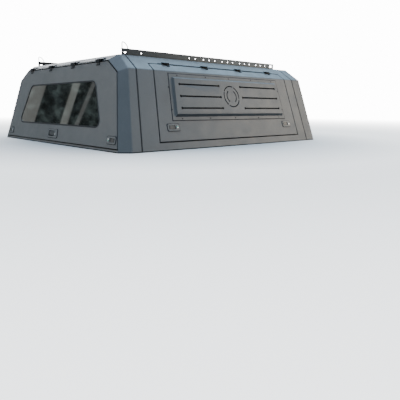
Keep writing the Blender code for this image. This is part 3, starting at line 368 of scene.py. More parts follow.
GREY = (0.122, 0.121, 0.118)
SIDE_OUT = Vector((1, 0, SIDE_LEAN)).normalized()
REAR_OUT = Vector((0, -1, HATCH_LEAN)).normalized()
SIDE_LEVEL = SIDE_OUT.x * BASE_HALF_WIDTH
REAR_LEVEL = REAR_OUT.y * HATCH_Y
ROOF_LINE = 0.5490
MAT = {
    "powder_coat": powder_coat("powder_coat_textured", GREY, 0.44),
    "powder_coat_roof": powder_coat("powder_coat_roof_textured", GREY, 0.44, dust_share=0.20),
    # the raised panel's downward bevels get a painted shade, near black
    "powder_coat_cover": powder_coat("powder_coat_cover_textured", GREY, 0.44, painted_shade=underside_shade),
    "black_hardware": black_metal("black_hardware_satin", (0.0045, 0.0048, 0.005), 0.52, 0.05, (0.05, 0.05, 0.052), 0.22),
    "tinted_glass": tinted_glass("privacy_glass"),
    "seal_rubber": rubber("seal_rubber_epdm", (0.012, 0.012, 0.0125)),
    # the window gasket's upward lip gets a painted highlight
    "gasket_rubber": rubber("window_gasket_epdm", (0.014, 0.014, 0.0145), top_highlight=0.9),
    # the rail's foot, where it meets the roof, gets a painted shade, near black
    "rail_coat": powder_coat("rail_coat_textured", (0.084, 0.098, 0.104), 0.40, grain=1.2, dust_share=0.06, painted_shade=shade_below_height(ROOF_LINE + 0.0025, ROOF_LINE + 0.0075), tone=tone_along_rail),
    # the latch pockets' floors get a painted shade, near black
    "latch_side": powder_coat("latch_coat_side", (0.125, 0.127, 0.124), 0.38, grain=1.6, dust_share=0.04, painted_shade=pocket_floor_shade(SIDE_OUT, SIDE_LEVEL + 0.0004)),
    "latch_rear": powder_coat("latch_coat_rear", (0.125, 0.127, 0.124), 0.38, grain=1.6, dust_share=0.04, painted_shade=pocket_floor_shade(REAR_OUT, REAR_LEVEL + 0.0004, fold=False)),
    "handle_coat": powder_coat("handle_coat_dark", (0.036, 0.037, 0.037), 0.34, grain=1.8, dust_share=0.03),
    "strut_tube": glossy_paint("strut_tube_paint", (0.012, 0.012, 0.013)),
    "bright_steel": bright_metal("ground_steel", (0.58, 0.59, 0.61), 0.20, (900, 60, 900)),
    "screw_steel": black_metal("screw_black_oxide", (0.020, 0.020, 0.022), 0.34, 0.7, (0.25, 0.25, 0.26)),
    "screw_zinc": black_metal("screw_zinc_grey", (0.20, 0.20, 0.20), 0.40, 0.7, (0.34, 0.34, 0.34)),
    "rivet_paint": black_metal("rivet_black", (0.018, 0.018, 0.019), 0.45),
    "lock_steel": bright_metal("lock_face_steel", (0.62, 0.63, 0.65), 0.24, (120, 1500, 1500)),
    "green_cap": plastic("green_lock_cap", (0.020, 0.50, 0.27), 0.35),
    "grey_cap": plastic("grey_lock_cap", (0.34, 0.35, 0.34), 0.42),
    "black_plastic": plastic("moulded_black_plastic", (0.016, 0.016, 0.017), 0.48),
    # near-black sheet behind the slots: painted shade
    "slot_shade_mesh": slot_shade_mesh("black_shade_mesh"),
}
SLOT_OF = {row["node"]: row["material_slot"] for row in RECORD["subparts"]}

for name, node in NODES.items():
    kind = SLOT_OF[name]
    if kind == "latch_coat" and "handle" not in name and name != "hatch_paddle":
        kind = "latch_side" if name.startswith("door") else "latch_rear"
    elif name in ("hatch_handle_right", "hatch_handle_left", "hatch_paddle") or name.startswith("door_handle"):
        kind = "handle_coat"
    elif name == "hatch_gasket":
        kind = "gasket_rubber"
    elif name.startswith("door_cover"):
        kind = "powder_coat_cover"
    coat = MAT[kind]
    for held in node.material_slots:
        held.material = coat
    if not node.material_slots:
        node.data.materials.append(coat)


# ------------------------------------------------------------------------------------------------ new pieces
def piece(name, bm, material, body, smooth=None):
    mesh = bpy.data.meshes.new(name)
    bmesh.ops.recalc_face_normals(bm, faces=bm.faces)
    bm.to_mesh(mesh)
    bm.free()
    mesh.materials.append(MAT[material])
    if smooth:
        mesh.shade_smooth()
        mesh.set_sharp_from_angle(angle=math.radians(smooth))
    obj = bpy.data.objects.new(name, mesh)
    bpy.context.scene.collection.objects.link(obj)
    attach(obj, body)
    return obj


def lathe(bm, matrix, profile, count=20):
    """A closed turned shape. profile: (radius, height) from the axis at the bottom to the axis at the top."""
    rings = []
    for r, h in profile:
        if r < 1e-7:
            rings.append([bm.verts.new(matrix @ Vector((0, 0, h)))])
        else:
            rings.append([bm.verts.new(matrix @ Vector((r * math.cos(2 * math.pi * i / count), r * math.sin(2 * math.pi * i / count), h)))
                          for i in range(count)])
    for a, b in zip(rings, rings[1:]):
        for i in range(count):
            j = (i + 1) % count
            if len(a) == 1 and len(b) == 1:
                continue
            if len(a) == 1:
                bm.faces.new((a[0], b[j], b[i]))
            elif len(b) == 1:
                bm.faces.new((a[i], a[j], b[0]))
            else:
                bm.faces.new((a[i], a[j], b[j], b[i]))


def dome_rivet(bm, matrix, r=0.0046, h=0.0017):
    """A blind rivet's domed head with the small dimple of its snapped stem."""
    lathe(bm, matrix, [(0, 0.0), (r, 0.0), (r * 1.0, h * 0.22), (r * 0.90, h * 0.55), (r * 0.68, h * 0.86), (r * 0.38, h), (r * 0.28, h * 0.98),
                       (r * 0.24, h * 0.62), (0, h * 0.58)], 18)


def button_screw(bm, matrix, r=0.0036, h=0.0019):
    """A button head with a hexagonal socket."""
    outer = [(r, 0.0), (r, h * 0.25), (r * 0.88, h * 0.72), (r * 0.62, h)]
    n = 18
    rings = [[bm.verts.new(matrix @ Vector((q * math.cos(2 * math.pi * i / n), q * math.sin(2 * math.pi * i / n), z))) for i in range(n)]
             for q, z in outer]
    bottom = bm.verts.new(matrix @ Vector((0, 0, 0)))
    for i in range(n):
        bm.faces.new((bottom, rings[0][(i + 1) % n], rings[0][i]))
    for a, b in zip(rings, rings[1:]):
        for i in range(n):
            j = (i + 1) % n
            bm.faces.new((a[i], a[j], b[j], b[i]))
    hexr = r * 0.50
    sock = []
    for z in (h, h * 0.35):
        ring = []
        for i in range(n):
            a = 2 * math.pi * i / n
            sector = (a + math.pi / 6) % (math.pi / 3) - math.pi / 6
            q = hexr * math.cos(math.pi / 6) / math.cos(sector)
            ring.append(bm.verts.new(matrix @ Vector((q * math.cos(a), q * math.sin(a), z))))
        sock.append(ring)
    for a, b in ((rings[-1], sock[0]), (sock[0], sock[1])):
        for i in range(n):
            j = (i + 1) % n
            bm.faces.new((a[i], a[j], b[j], b[i]))
    bm.faces.new(sock[1])


def hex_nut(bm, matrix, flats=0.0075, h=0.0035, stud=0.0021, proud=0.0015):
    """A hexagon nut with a chamfered face and its stud end."""
    r = flats / 2 / math.cos(math.pi / 6)
    rings = []
    for q, z in ((r, 0.0), (r, h * 0.82), (r * 0.90, h)):
        rings.append([bm.verts.new(matrix @ Vector((q * math.cos(math.pi * i / 3), q * math.sin(math.pi * i / 3), z))) for i in range(6)])
    bm.faces.new(rings[0][::-1])
    for a, b in zip(rings, rings[1:]):
        for i in range(6):
            j = (i + 1) % 6
            bm.faces.new((a[i], a[j], b[j], b[i]))
    bm.faces.new(rings[-1])
    lathe(bm, matrix @ Matrix.Translation((0, 0, h * 0.9)), [(0, 0), (stud, 0), (stud, proud), (stud * 0.8, proud + 0.0004), (0, proud + 0.0004)], 12)


# rivets around the raised panel on each door
RIVETS_TOP = (-0.360, -0.121, 0.091, 0.318, 0.547)
RIVETS_BOTTOM = (-0.385, -0.150, 0.083, 0.323, 0.555)
RIVETS_REAR = ((-0.4430, 0.366), (-0.4515, 0.234))
RIVETS_FRONT = ((0.6005, 0.366), (0.6110, 0.234))
COVER_LIFT = 0.0021


def rivets(turn):
    bm = bmesh.new()
    spots = [(y, 0.4375) for y in RIVETS_TOP] + [(y, 0.1805) for y in RIVETS_BOTTOM] + list(RIVETS_REAR) + list(RIVETS_FRONT)
    for y, z in spots:
        dome_rivet(bm, turn(on_side(y, z, COVER_LIFT)))
    return bm


SIDES = (("right", lambda m: m), ("left", mirror_x))
for side, turn in SIDES:
    piece("door_cover_rivets_" + side, rivets(turn), "rivet_paint", "door_" + side, 40)

# hinge screws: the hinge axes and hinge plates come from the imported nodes
DOOR_HINGE_Y = [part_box("door_hinge_right_%d" % n)[1].y - 0.021 for n in range(1, 5)]
HATCH_HINGE_X = [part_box("hatch_hinge_%d" % n)[0].x + 0.031 for n in range(1, 5)]
SHOULDER_X, SHOULDER_Z = BASE_HALF_WIDTH - SIDE_LEAN * 0.463, 0.463
SHOULDER_DX, SHOULDER_DZ = SHOULDER_X - 0.603, 0.5487 - 0.463
DOOR_TOP_Z = 0.503
HINGE_EDGE_X = SHOULDER_X - (DOOR_TOP_Z - SHOULDER_Z) * SHOULDER_DX / SHOULDER_DZ
DOOR_LAY = frame_at((HINGE_EDGE_X, 0, DOOR_TOP_Z), (-SHOULDER_DX, 0, SHOULDER_DZ), (SHOULDER_DZ, 0, SHOULDER_DX))
HEADER_FOLD_Z = 0.5146
HEADER_N = Vector((0, -(0.5487 - HEADER_FOLD_Z), -0.678 - (-0.85 + HATCH_LEAN * HEADER_FOLD_Z))).normalized()
HEADER_ORIGIN = (0, HATCH_Y + HATCH_LEAN * HEADER_FOLD_Z, HEADER_FOLD_Z)
HEADER_LAY = frame_at(HEADER_ORIGIN, (0, HEADER_N.z, -HEADER_N.y), HEADER_N)
HATCH_LAY = frame_at(HEADER_ORIGIN, (0, HATCH_LEAN, 1), (0, -1, HATCH_LEAN))


def hinge_screws(lay, stations, along, local_x, top, turn, shift, pitch=0.0095, radius=0.0026):
    """Two screws on each hinge leaf. lay: X up the sheet, Y out of it; along: +1 where stations run with the lay's Z.
    shift moves the pair to the half of the hinge that the leaf takes."""
    bm = bmesh.new()
    for station in stations:
        for k in (-0.5, 0.5):
            spot = lay @ Matrix.Translation((local_x, top, along * (station + shift + k * pitch)))
            out = spot @ Matrix.Rotation(-math.pi / 2, 4, "X")
            button_screw(bm, turn(out), radius, 0.0014)
    return bm


DOOR_Z_SIGN = 1.0 if (DOOR_LAY.to_3x3() @ Vector((0, 0, 1))).y > 0 else -1.0
HEADER_Z_SIGN = 1.0 if (HEADER_LAY.to_3x3() @ Vector((0, 0, 1))).x > 0 else -1.0
HATCH_Z_SIGN = 1.0 if (HATCH_LAY.to_3x3() @ Vector((0, 0, 1))).x > 0 else -1.0
for side, turn in SIDES:
    piece("door_hinge_screws_" + side, hinge_screws(DOOR_LAY, DOOR_HINGE_Y, DOOR_Z_SIGN, -0.0160, 0.0034, turn, 0.0107),
          "screw_steel", "door_" + side, 40)
    piece("frame_hinge_screws_" + side, hinge_screws(DOOR_LAY, DOOR_HINGE_Y, DOOR_Z_SIGN, 0.0158, 0.0034, turn, -0.0107),
          "screw_steel", FRAME_BODY, 40)
piece("hatch_hinge_screws", hinge_screws(HATCH_LAY, HATCH_HINGE_X, HATCH_Z_SIGN, -0.0190, 0.0034, lambda m: m, -0.0122, 0.020, 0.0036),
      "screw_zinc", "hatch", 40)
piece("header_hinge_screws", hinge_screws(HEADER_LAY, HATCH_HINGE_X, HEADER_Z_SIGN, 0.0205, 0.0034, lambda m: m, 0.0192, 0.0115, 0.0036),
      "screw_zinc", FRAME_BODY, 40)

# the rubber strip in each joint between the modules, set back from the sheet's face
def meet(n1, c1, n2, c2):
    det = n1[0] * n2[1] - n1[1] * n2[0]
    return ((c1 * n2[1] - c2 * n1[1]) / det, (n1[0] * c2 - n2[0] * c1) / det)


SIDE_2 = (SIDE_OUT.x, SIDE_OUT.z)
SHOULDER_RUN = math.hypot(SHOULDER_DX, SHOULDER_DZ)
SHOULDER_2 = (SHOULDER_DZ / SHOULDER_RUN, SHOULDER_DX / SHOULDER_RUN)
SHOULDER_LEVEL = SHOULDER_2[0] * SHOULDER_X + SHOULDER_2[1] * SHOULDER_Z


def section(depth, foot):
    """The canopy's cross-section at a depth under its face, from foot to foot: x and z."""
    half = [meet(SIDE_2, SIDE_LEVEL - depth, (0, 1), foot),
            meet(SIDE_2, SIDE_LEVEL - depth, SHOULDER_2, SHOULDER_LEVEL - depth),
            meet(SHOULDER_2, SHOULDER_LEVEL - depth, (0, 1), 0.5487 - depth)]
    return half + [(-x, z) for x, z in half[::-1]]


def joint_strip(at_base, slope, width):
    bm = bmesh.new()
    rings = []
    for (x0, z0), (x1, z1) in zip(section(0.0016, 0.010), section(0.0046, 0.010)):
        ring = []
        for x, z, w in ((x0, z0, -width * 0.44), (x0, z0, width * 0.44), (x1, z1, width * 0.5), (x1, z1, -width * 0.5)):
            ring.append(bm.verts.new((x, Y0 + at_base + slope * z + w, z)))
        rings.append(ring)
    for a, b in zip(rings, rings[1:]):
        for i in range(4):
            j = (i + 1) % 4
            bm.faces.new((a[i], a[j], b[j], b[i]))
    bm.faces.new(rings[0][::-1])
    bm.faces.new(rings[-1])
    return bm


piece("joint_strip_rear", joint_strip(-0.7244, 0.1586, 0.0097), "seal_rubber", FRAME_BODY)
piece("joint_strip_front", joint_strip(0.850, -0.0808, 0.0097), "seal_rubber", FRAME_BODY)

# the bead of black sealant around each raised panel's flange
COVER_EDGE = ((-0.4605, 0.172), (0.622, 0.172), (0.602, 0.446), (-0.4245, 0.446))


def grown(outline, d):
    """The outline moved outwards by d in the sheet's plane. outline: (along, up the sheet)."""
    lines = []
    for (x0, y0), (x1, y1) in zip(outline, outline[1:] + outline[:1]):
        run = math.hypot(x1 - x0, y1 - y0)
        n = ((y1 - y0) / run, -(x1 - x0) / run)
        lines.append((n, n[0] * x0 + n[1] * y0 + d))
    return [meet(*lines[i - 1], *lines[i]) for i in range(len(lines))]


for side, turn in SIDES:
    edge = [(y, z * SIDE_STRETCH) for y, z in COVER_EDGE]
    bm = bmesh.new()
    rings = [[bm.verts.new(turn(SIDE @ Matrix.Translation((u, v, out))).translation) for u, v in grown(edge, d)]
             for d, out in ((0.0003, 0.0001), (0.0048, 0.0001), (0.0042, 0.0010), (0.0022, 0.0017), (0.0003, 0.0019))]
    for a, b in zip(rings, rings[1:] + rings[:1]):
        for i in range(4):
            j = (i + 1) % 4
            bm.faces.new((a[i], a[j], b[j], b[i]))
    piece("door_cover_sealant_" + side, bm, "seal_rubber", "door_" + side)

def bead(bm, place, width, height, inner=0.0003, wide=0.0030, tall=0.0030, corner=0.0065):
    """A rubber bead round a rounded plate that lies at the origin of place, X along its width."""
    def loop(d, out):
        points = []
        for cx, cy, start in ((1, 1, 0), (-1, 1, 90), (-1, -1, 180), (1, -1, 270)):
            for k in range(4):
                a = math.radians(start + 30 * k)
                r = corner + d
                points.append((cx * (width / 2 - corner) + r * math.cos(a), cy * (height / 2 - corner) + r * math.sin(a)))
        return [bm.verts.new((place @ Matrix.Translation((x, y, out))).translation) for x, y in points]
    rings = [loop(d, out) for d, out in ((inner, 0.0002), (inner + wide, 0.0002), (inner + wide * 0.85, tall * 0.65), (inner + wide * 0.4, tall), (inner, tall))]
    for a, b in zip(rings, rings[1:] + rings[:1]):
        for i in range(len(a)):
            j = (i + 1) % len(a)
            bm.faces.new((a[i], a[j], b[j], b[i]))


for side, turn in SIDES:
    for where, y, z in (("rear", -0.468, 0.131), ("front", 0.625, 0.130)):
        bm = bmesh.new()
        bead(bm, turn(on_side(y, z)), 0.090, 0.042)
        piece("latch_gasket_%s_%s" % (side, where), bm, "seal_rubber", "door_" + side, 40)
for name, x in (("right", 0.748), ("left", -0.748)):
    bm = bmesh.new()
    bead(bm, on_rear(x, 0.066), 0.090, 0.042)
    piece("latch_gasket_hatch_" + name, bm, "seal_rubber", "hatch", 40)
bm = bmesh.new()
bead(bm, on_rear(0, 0.069), 0.140, 0.056, corner=0.0085)
piece("paddle_gasket", bm, "seal_rubber", "hatch", 40)

# a near-black woven sheet behind the slots of each raised panel: painted shade for the hollow under it
COVER_BACK = ((-0.4180, 0.2110), (0.5830, 0.2110), (0.5675, 0.4080), (-0.3920, 0.4080))
for side, turn in SIDES:
    bm = bmesh.new()
    low = [bm.verts.new(turn(on_side(y, z, 0.0112)).translation) for y, z in COVER_BACK]
    high = [bm.verts.new(turn(on_side(y, z, 0.0122)).translation) for y, z in COVER_BACK]
    bm.faces.new(low)
    bm.faces.new(high[::-1])
    for i in range(4):
        j = (i + 1) % 4
        bm.faces.new((low[i], high[i], high[j], low[j]))
    piece("door_cover_shade_mesh_" + side, bm, "slot_shade_mesh", "door_" + side)

# rail bolts through the rail's foot
RAIL_LOW, RAIL_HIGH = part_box("rack_rail_right")
FOOT_TOP = RAIL_LOW.z + 0.003
RAIL_X = RAIL_HIGH.x - 0.0145
for side, turn in SIDES:
    bm = bmesh.new()
    for k in range(7):
        y = RAIL_LOW.y + 0.085 + k * (RAIL_HIGH.y - RAIL_LOW.y - 0.17) / 6
        base = turn(Matrix.Translation((RAIL_X, y, FOOT_TOP)))
        lathe(bm, base, [(0, 0), (0.0075, 0), (0.0075, 0.0009), (0.0069, 0.0012), (0, 0.0012)], 22)
        button_screw(bm, base @ Matrix.Translation((0, 0, 0.0012)), 0.0055, 0.0030)
    piece("rail_bolts_" + side, bm, "screw_steel", FRAME_BODY, 40)

# lock cylinders: face plate, key slot surround and coloured dust cap
DOOR_LATCHES = (("rear", -0.468, 0.131, "green_cap"), ("front", 0.625, 0.130, "grey_cap"))


def lock_face(bm, matrix, r=0.0070):
    """The turned face of a key cylinder around its slot."""
    lathe(bm, matrix, [(0, 0), (r, 0), (r, 0.0007), (r * 0.93, 0.0011), (r * 0.80, 0.0011), (r * 0.77, 0.0008), (r * 0.30, 0.0008), (0, 0.0008)], 28)


def lock_cap(bm, matrix):
    """A half-open dust cap over the key slot."""
    n = 16
    outline = [(0.0058 * math.cos(math.pi * i / n), 0.0058 * math.sin(math.pi * i / n)) for i in range(n + 1)]
    low = [bm.verts.new(matrix @ Vector((x, y, 0))) for x, y in outline]
    mid = [bm.verts.new(matrix @ Vector((x, y, 0.0007))) for x, y in outline]
    top = [bm.verts.new(matrix @ Vector((x * 0.88, y * 0.88 + 0.0003, 0.0011))) for x, y in outline]
    bm.faces.new(low[::-1])
    bm.faces.new(top)
    for a, b in ((low, mid), (mid, top)):
        for i in range(n + 1):
            j = (i + 1) % (n + 1)
            bm.faces.new((a[i], a[j], b[j], b[i]))


LOCK_TOP = 0.0062 + 0.0001
for where, y, z, cap in DOOR_LATCHES:
    for side, turn in SIDES:
        base = on_side(y + 0.0260, z, LOCK_TOP)
        bm = bmesh.new()
        lock_face(bm, turn(base))
        piece("lock_face_%s_%s" % (side, where), bm, "lock_steel", "door_" + side, 40)
        bm = bmesh.new()
        lock_cap(bm, turn(base @ Matrix.Translation((0, 0, 0.0008))))
        piece("lock_cap_%s_%s" % (side, where), bm, cap, "door_" + side, 40)
        bm = bmesh.new()
        for sx in (-1, 1):
            for sy in (-1, 1):
                button_screw(bm, turn(on_side(y + sx * 0.0412, z, 0.0040) @ Matrix.Translation((0, sy * 0.0175, 0))), 0.0020, 0.0010)
        piece("latch_screws_%s_%s" % (side, where), bm, "screw_steel", "door_" + side, 40)
for side, s in (("right", 1), ("left", -1)):
    centre = on_rear(s * 0.748, 0.066)
    if s > 0:
        centre = centre @ Matrix.Rotation(math.pi, 4, "Z")
    bm = bmesh.new()
    lock_face(bm, centre @ Matrix.Translation((0.0260, 0, LOCK_TOP)))
    piece("lock_face_hatch_" + side, bm, "lock_steel", "hatch", 40)
    bm = bmesh.new()
    lock_cap(bm, centre @ Matrix.Translation((0.0260, 0, LOCK_TOP + 0.0008)))
    piece("lock_cap_hatch_" + side, bm, "green_cap" if s > 0 else "grey_cap", "hatch", 40)
    bm = bmesh.new()
    for sx in (-1, 1):
        for sy in (-1, 1):
            button_screw(bm, centre @ Matrix.Translation((sx * 0.0412, sy * 0.0175, 0.0040)), 0.0020, 0.0010)
    piece("latch_screws_hatch_" + side, bm, "screw_steel", "hatch", 40)
centre = on_rear(0, 0.069)
bm = bmesh.new()
lock_face(bm, centre @ Matrix.Translation((0.0460, 0, LOCK_TOP)), 0.0080)
piece("lock_face_paddle", bm, "lock_steel", "hatch", 40)
bm = bmesh.new()
for sx in (-1, 1):
    for sy in (-1, 1):
        button_screw(bm, centre @ Matrix.Translation((sx * 0.0655, sy * 0.0240, 0.0040)), 0.0022, 0.0011)
piece("paddle_screws", bm, "screw_steel", "hatch", 40)


# gas struts: end gland and stop collar, along the line between the two pivots
def strut_detail(tube_joint, rod_joint, tube_node, rod_node, side_axis, proud=1.0):
    """proud: how far the rings stand out of the tube, as a share; the door struts lie close under the roof when open."""
    upper = Vector(JOINTS[tube_joint]["pos_m"])
    lower = Vector(JOINTS[rod_joint]["pos_m"])
    along = (lower - upper).normalized()
    across = Vector(side_axis)
    lay = frame_at(upper, across, across.cross(along) * -1)
    if (lay.to_3x3() @ Vector((0, 0, 1))).dot(along) < 0:
        lay = frame_at(upper, across, across.cross(along))
    length = (lower - upper).length
    bm = bmesh.new()
    # gland crimped over the tube's end, and a shoulder at its closed end
    rise = 0.00085 * proud
    lathe_ring(bm, lay, [(0.00925, 0.1885), (0.00925 + rise, 0.1900), (0.00925 + rise, 0.1965), (0.00925 + rise * 0.4, 0.1995), (0.0070, 0.2025), (0.0053, 0.2025), (0.0053, 0.2004), (0.00925, 0.1998)])
    lathe_ring(bm, lay, [(0.0091, 0.0160), (0.0091 + rise * 0.7, 0.0170), (0.0091 + rise * 0.7, 0.0230), (0.0091, 0.0240)])
    piece(tube_node + "_glands", bm, "strut_tube", tube_node, 40)
    bm = bmesh.new()
    lathe_ring(bm, lay, [(0.0041, length - 0.024), (0.0058, length - 0.023), (0.0058, length - 0.010), (0.0041, length - 0.009)])
    piece(rod_node + "_collar", bm, "black_plastic", rod_node, 40)


def lathe_ring(bm, matrix, profile, count=20):
    """A closed turned ring: the profile is a loop of (radius, height)."""
    rings = [[bm.verts.new(matrix @ Vector((r * math.cos(2 * math.pi * i / count), r * math.sin(2 * math.pi * i / count), h)))
              for i in range(count)] for r, h in profile]
    for k in range(len(rings)):
        a, b = rings[k], rings[(k + 1) % len(rings)]
        for i in range(count):
            j = (i + 1) % count
            bm.faces.new((a[i], a[j], b[j], b[i]))


for side in ("right", "left"):
    for where in ("rear", "front"):
        t, r = "door_strut_tube_%s_%s" % (side, where), "door_strut_rod_%s_%s" % (side, where)
        strut_detail(t + "_pivot", r + "_pivot", t, r, (0, 1, 0), 0.25)
    t, r = "hatch_strut_tube_" + side, "hatch_strut_rod_" + side
    strut_detail(t + "_pivot", r + "_pivot", t, r, (1, 0, 0))

# ------------------------------------------------------------------------------------------------ edges
# CAD sheet edges are sharp; small rounds catch the light as folded and cut metal does.
ROUNDED = {}
for name in NODES:
    if name.startswith(("door_latch", "hatch_latch", "hatch_paddle", "door_handle", "hatch_handle")):
        ROUNDED[name] = 0.0006
    elif name.startswith("rack_rail"):
        ROUNDED[name] = 0.0005
    elif name.startswith(("door_cover",)):
        ROUNDED[name] = 0.0005
for name, width in ROUNDED.items():
    node = NODES[name]
    weld = node.modifiers.new("weld", "WELD")
    weld.merge_threshold = 0.00002
    bevel = node.modifiers.new("edge", "BEVEL")
    bevel.width = width
    bevel.segments = 2
    bevel.limit_method = "ANGLE"
    bevel.angle_limit = math.radians(28)
    bevel.use_clamp_overlap = True

# ------------------------------------------------------------------------------------------------ studio
def emitter_world():
    """A plain studio: a dim band near the horizon, a pale blue-grey glow overhead, and a white paper backdrop."""
    world = bpy.data.worlds.new("studio")
    world.use_nodes = True
    tree = world.node_tree
    tree.nodes.clear()
    where = tree.nodes.new("ShaderNodeTexCoord")
    split = tree.nodes.new("ShaderNodeSeparateXYZ")
    tree.links.new(where.outputs["Generated"], split.inputs["Vector"])
    half = tree.nodes.new("ShaderNodeMapRange")
    half.inputs["From Min"].default_value = -1
    half.inputs["From Max"].default_value = 1
    tree.links.new(split.outputs["Z"], half.inputs["Value"])
    glow = tree.nodes.new("ShaderNodeValToRGB")
    stops = [(0.0, (0.30, 0.30, 0.30)), (0.50, (0.095, 0.130, 0.170)), (0.60, (0.085, 0.130, 0.195)), (0.70, (0.38, 0.52, 0.70)), (1.0, (0.54, 0.72, 0.98))]
    while len(glow.color_ramp.elements) < len(stops):
        glow.color_ramp.elements.new(0.5)
    for element, (place, colour) in zip(glow.color_ramp.elements, stops):
        element.position = place
        element.color = (*colour, 1)
    tree.links.new(half.outputs["Result"], glow.inputs["Fac"])
    # the low part is mottled, as surroundings out of focus are: it shows in the glass only
    mottle = noise(tree, where.outputs["Generated"], 52.0, 6, 0.72)
    blots = ramp(tree, mottle, [(0.40, (0.24, 0.22, 0.17)), (0.50, (0.80, 0.71, 0.54)), (0.58, (2.5, 2.2, 1.5)), (0.70, (5.2, 4.5, 3.0))])
    low = span_of(tree, half.outputs["Result"], 1.0, 0.0, 0.63, 0.69)
    lit = tree.nodes.new("ShaderNodeBackground")
    lit.inputs["Strength"].default_value = 0.95
    tree.links.new(mix(tree, 1.0, glow.outputs["Color"], mix(tree, low, (1.0, 1.0, 1.0), blots), "MULTIPLY"), lit.inputs["Color"])
    paper = tree.nodes.new("ShaderNodeBackground")
    paper.inputs["Color"].default_value = (1, 1, 1, 1)
    paper.inputs["Strength"].default_value = 14.0
    seen = tree.nodes.new("ShaderNodeLightPath")
    both = tree.nodes.new("ShaderNodeMixShader")
    tree.links.new(seen.outputs["Is Camera Ray"], both.inputs["Fac"])
    tree.links.new(lit.outputs["Background"], both.inputs[1])
    tree.links.new(paper.outputs["Background"], both.inputs[2])
    end = tree.nodes.new("ShaderNodeOutputWorld")
    tree.links.new(both.outputs["Shader"], end.inputs["Surface"])
    bpy.context.scene.world = world


emitter_world()


def lamp_at(name, matrix, size, radiance, colour):
    """A rectangular softbox that gives this radiance; the camera doesn't see it, and gloss does."""
    lamp = bpy.data.lights.new(name, "AREA")
    lamp.shape = "RECTANGLE"
    lamp.size, lamp.size_y = size
    lamp.energy = radiance * math.pi * size[0] * size[1]
    lamp.color = colour
    obj = bpy.data.objects.new(name, lamp)
    obj.matrix_world = matrix
    obj.visible_camera = False
    bpy.context.scene.collection.objects.link(obj)
    return obj


def softbox(name, place, target, size, radiance, colour=(1, 1, 1), lean=0.0):
    """Upright rectangle at place that faces target; lean turns it about its own axis, in degrees."""
    back = (Vector(place) - Vector(target)).normalized()
    side = Vector((0, 0, 1)).cross(back).normalized()
    rise = back.cross(side)
    matrix = Matrix((
        (side.x, rise.x, back.x, place[0]),
        (side.y, rise.y, back.y, place[1]),
        (side.z, rise.z, back.z, place[2]),
        (0, 0, 0, 1))) @ Matrix.Rotation(math.radians(lean), 4, "Z")
    return lamp_at(name, matrix, size, radiance, colour)


softbox("sky_softbox", (-0.7, 2.3, 3.1), (0.3, 0.0, 0.4), (3.4, 2.8), 3.0, (0.52, 0.80, 1.04))
softbox("left_softbox", (-4.2, 0.2, 2.4), (0, -0.4, 0.5), (3.0, 2.0), 4.7, (1.0, 0.99, 0.97))
softbox("rear_key", (-3.0, -4.6, 1.5), (0, -0.8, 0.3), (1.8, 1.6), 4.2, (1.0, 0.91, 0.80))
softbox("side_key", (3.3, 3.9, 1.9), (0.8, 0.3, 0.3), (2.6, 2.2), 5.5, (1.0, 0.86, 0.67))
softbox("corner_top", (0.7, -0.5, 4.0), (0.6, -0.6, 0.5), (1.5, 1.2), 13.0, (0.58, 0.79, 1.0))
# tall strips that stand in the hatch window's reflection
WINDOW_CENTRE = (0.0, -0.84, 0.26)
softbox("strip_1", (-4.22, -2.17, 0.95), WINDOW_CENTRE, (0.36, 2.4), 0.50, (0.99, 1.0, 0.95), 3)
softbox("strip_2", (-3.40, -2.46, 0.98), WINDOW_CENTRE, (0.10, 2.4), 0.72, (0.96, 1.0, 0.94), 2)
softbox("strip_3", (-3.15, -2.56, 1.0), WINDOW_CENTRE, (0.055, 2.4), 0.42, (0.99, 1.0, 0.98), -3)


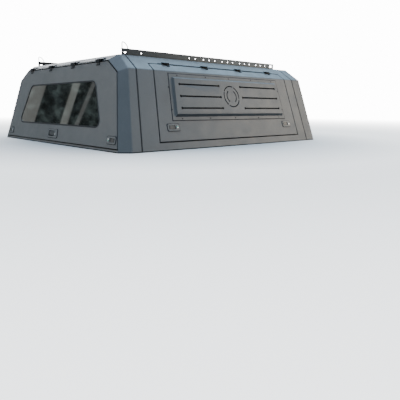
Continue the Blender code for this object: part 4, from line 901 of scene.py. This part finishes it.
def studio_floor():
    """One pale sheet, flat under the object and all round it."""
    bm = bmesh.new()
    rows = []
    reach = 14.0
    for i in range(41):
        y = -reach + 2 * reach * i / 40
        rows.append([bm.verts.new((-reach + 2 * reach * k / 40, y, -0.0006)) for k in range(41)])
    for a, b in zip(rows, rows[1:]):
        for k in range(40):
            bm.faces.new((a[k], a[k + 1], b[k + 1], b[k]))
    mesh = bpy.data.meshes.new("studio_floor")
    bm.to_mesh(mesh)
    bm.free()
    m, tree, shader = nodes_of("studio_paper", 0.85)
    c = coords(tree)
    tree.links.new(ramp(tree, noise(tree, c, 1.1, 3), [(0.3, (0.70, 0.685, 0.66)), (0.7, (0.74, 0.725, 0.70))]), shader.inputs["Base Color"])
    shader.inputs["Specular IOR Level"].default_value = 0.1
    # the sheet runs into the white backdrop with distance, as a lit paper sweep does
    far = tree.nodes.new("ShaderNodeVectorMath")
    far.operation = "LENGTH"
    tree.links.new(c, far.inputs[0])
    glow = span_of(tree, far.outputs["Value"], 0.0, 1.0, 2.2, 8.0)
    curve = tree.nodes.new("ShaderNodeMath")
    curve.operation = "POWER"
    curve.inputs[1].default_value = 1.5
    tree.links.new(glow, curve.inputs[0])
    seen = tree.nodes.new("ShaderNodeLightPath")
    share = tree.nodes.new("ShaderNodeMath")
    share.operation = "MULTIPLY"
    tree.links.new(curve.outputs[0], share.inputs[0])
    tree.links.new(seen.outputs["Is Camera Ray"], share.inputs[1])
    white = tree.nodes.new("ShaderNodeEmission")
    white.inputs["Strength"].default_value = 14.0
    # and is paler to the eye than what it throws back on to the object; the lift is nil within 0.95 m of the middle, so
    # the floor round the object stays darker, a painted shade
    lift = tree.nodes.new("ShaderNodeEmission")
    lift.inputs["Color"].default_value = (1.0, 0.985, 0.96, 1)
    clear = tree.nodes.new("ShaderNodeMath")
    clear.operation = "MULTIPLY"
    tree.links.new(span_of(tree, far.outputs["Value"], 0.0, 1.35, 0.95, 1.9), clear.inputs[0])
    tree.links.new(seen.outputs["Is Camera Ray"], clear.inputs[1])
    tree.links.new(clear.outputs[0], lift.inputs["Strength"])
    pale = tree.nodes.new("ShaderNodeAddShader")
    tree.links.new(shader.outputs["BSDF"], pale.inputs[0])
    tree.links.new(lift.outputs["Emission"], pale.inputs[1])
    blend = tree.nodes.new("ShaderNodeMixShader")
    tree.links.new(share.outputs[0], blend.inputs["Fac"])
    tree.links.new(pale.outputs["Shader"], blend.inputs[1])
    tree.links.new(white.outputs["Emission"], blend.inputs[2])
    tree.links.new(blend.outputs["Shader"], tree.nodes["Material Output"].inputs["Surface"])
    mesh.materials.append(m)
    obj = bpy.data.objects.new("studio_floor", mesh)
    bpy.context.scene.collection.objects.link(obj)
    return obj


studio_floor()

# ------------------------------------------------------------------------------------------------ camera
YAW, PITCH, ROLL = math.radians(47.4026), math.radians(11.8555), math.radians(0.3953)
forward = Vector((-math.sin(YAW) * math.cos(PITCH), math.cos(YAW) * math.cos(PITCH), -math.sin(PITCH)))
right = Vector((math.cos(YAW), math.sin(YAW), 0))
up = right.cross(forward)
right, up = right * math.cos(ROLL) + up * math.sin(ROLL), -right * math.sin(ROLL) + up * math.cos(ROLL)
lens = bpy.data.cameras.new("camera")
lens.sensor_width = 36.0
lens.lens = 443.31 / 400 * 36.0
lens.clip_start, lens.clip_end = 0.05, 100
camera = bpy.data.objects.new("camera", lens)
camera.matrix_world = Matrix((
    (right.x, up.x, -forward.x, 2.9052),
    (right.y, up.y, -forward.y, -2.1487 + Y0),
    (right.z, up.z, -forward.z, 0.2510),
    (0, 0, 0, 1)))
bpy.context.scene.collection.objects.link(camera)
bpy.context.scene.camera = camera
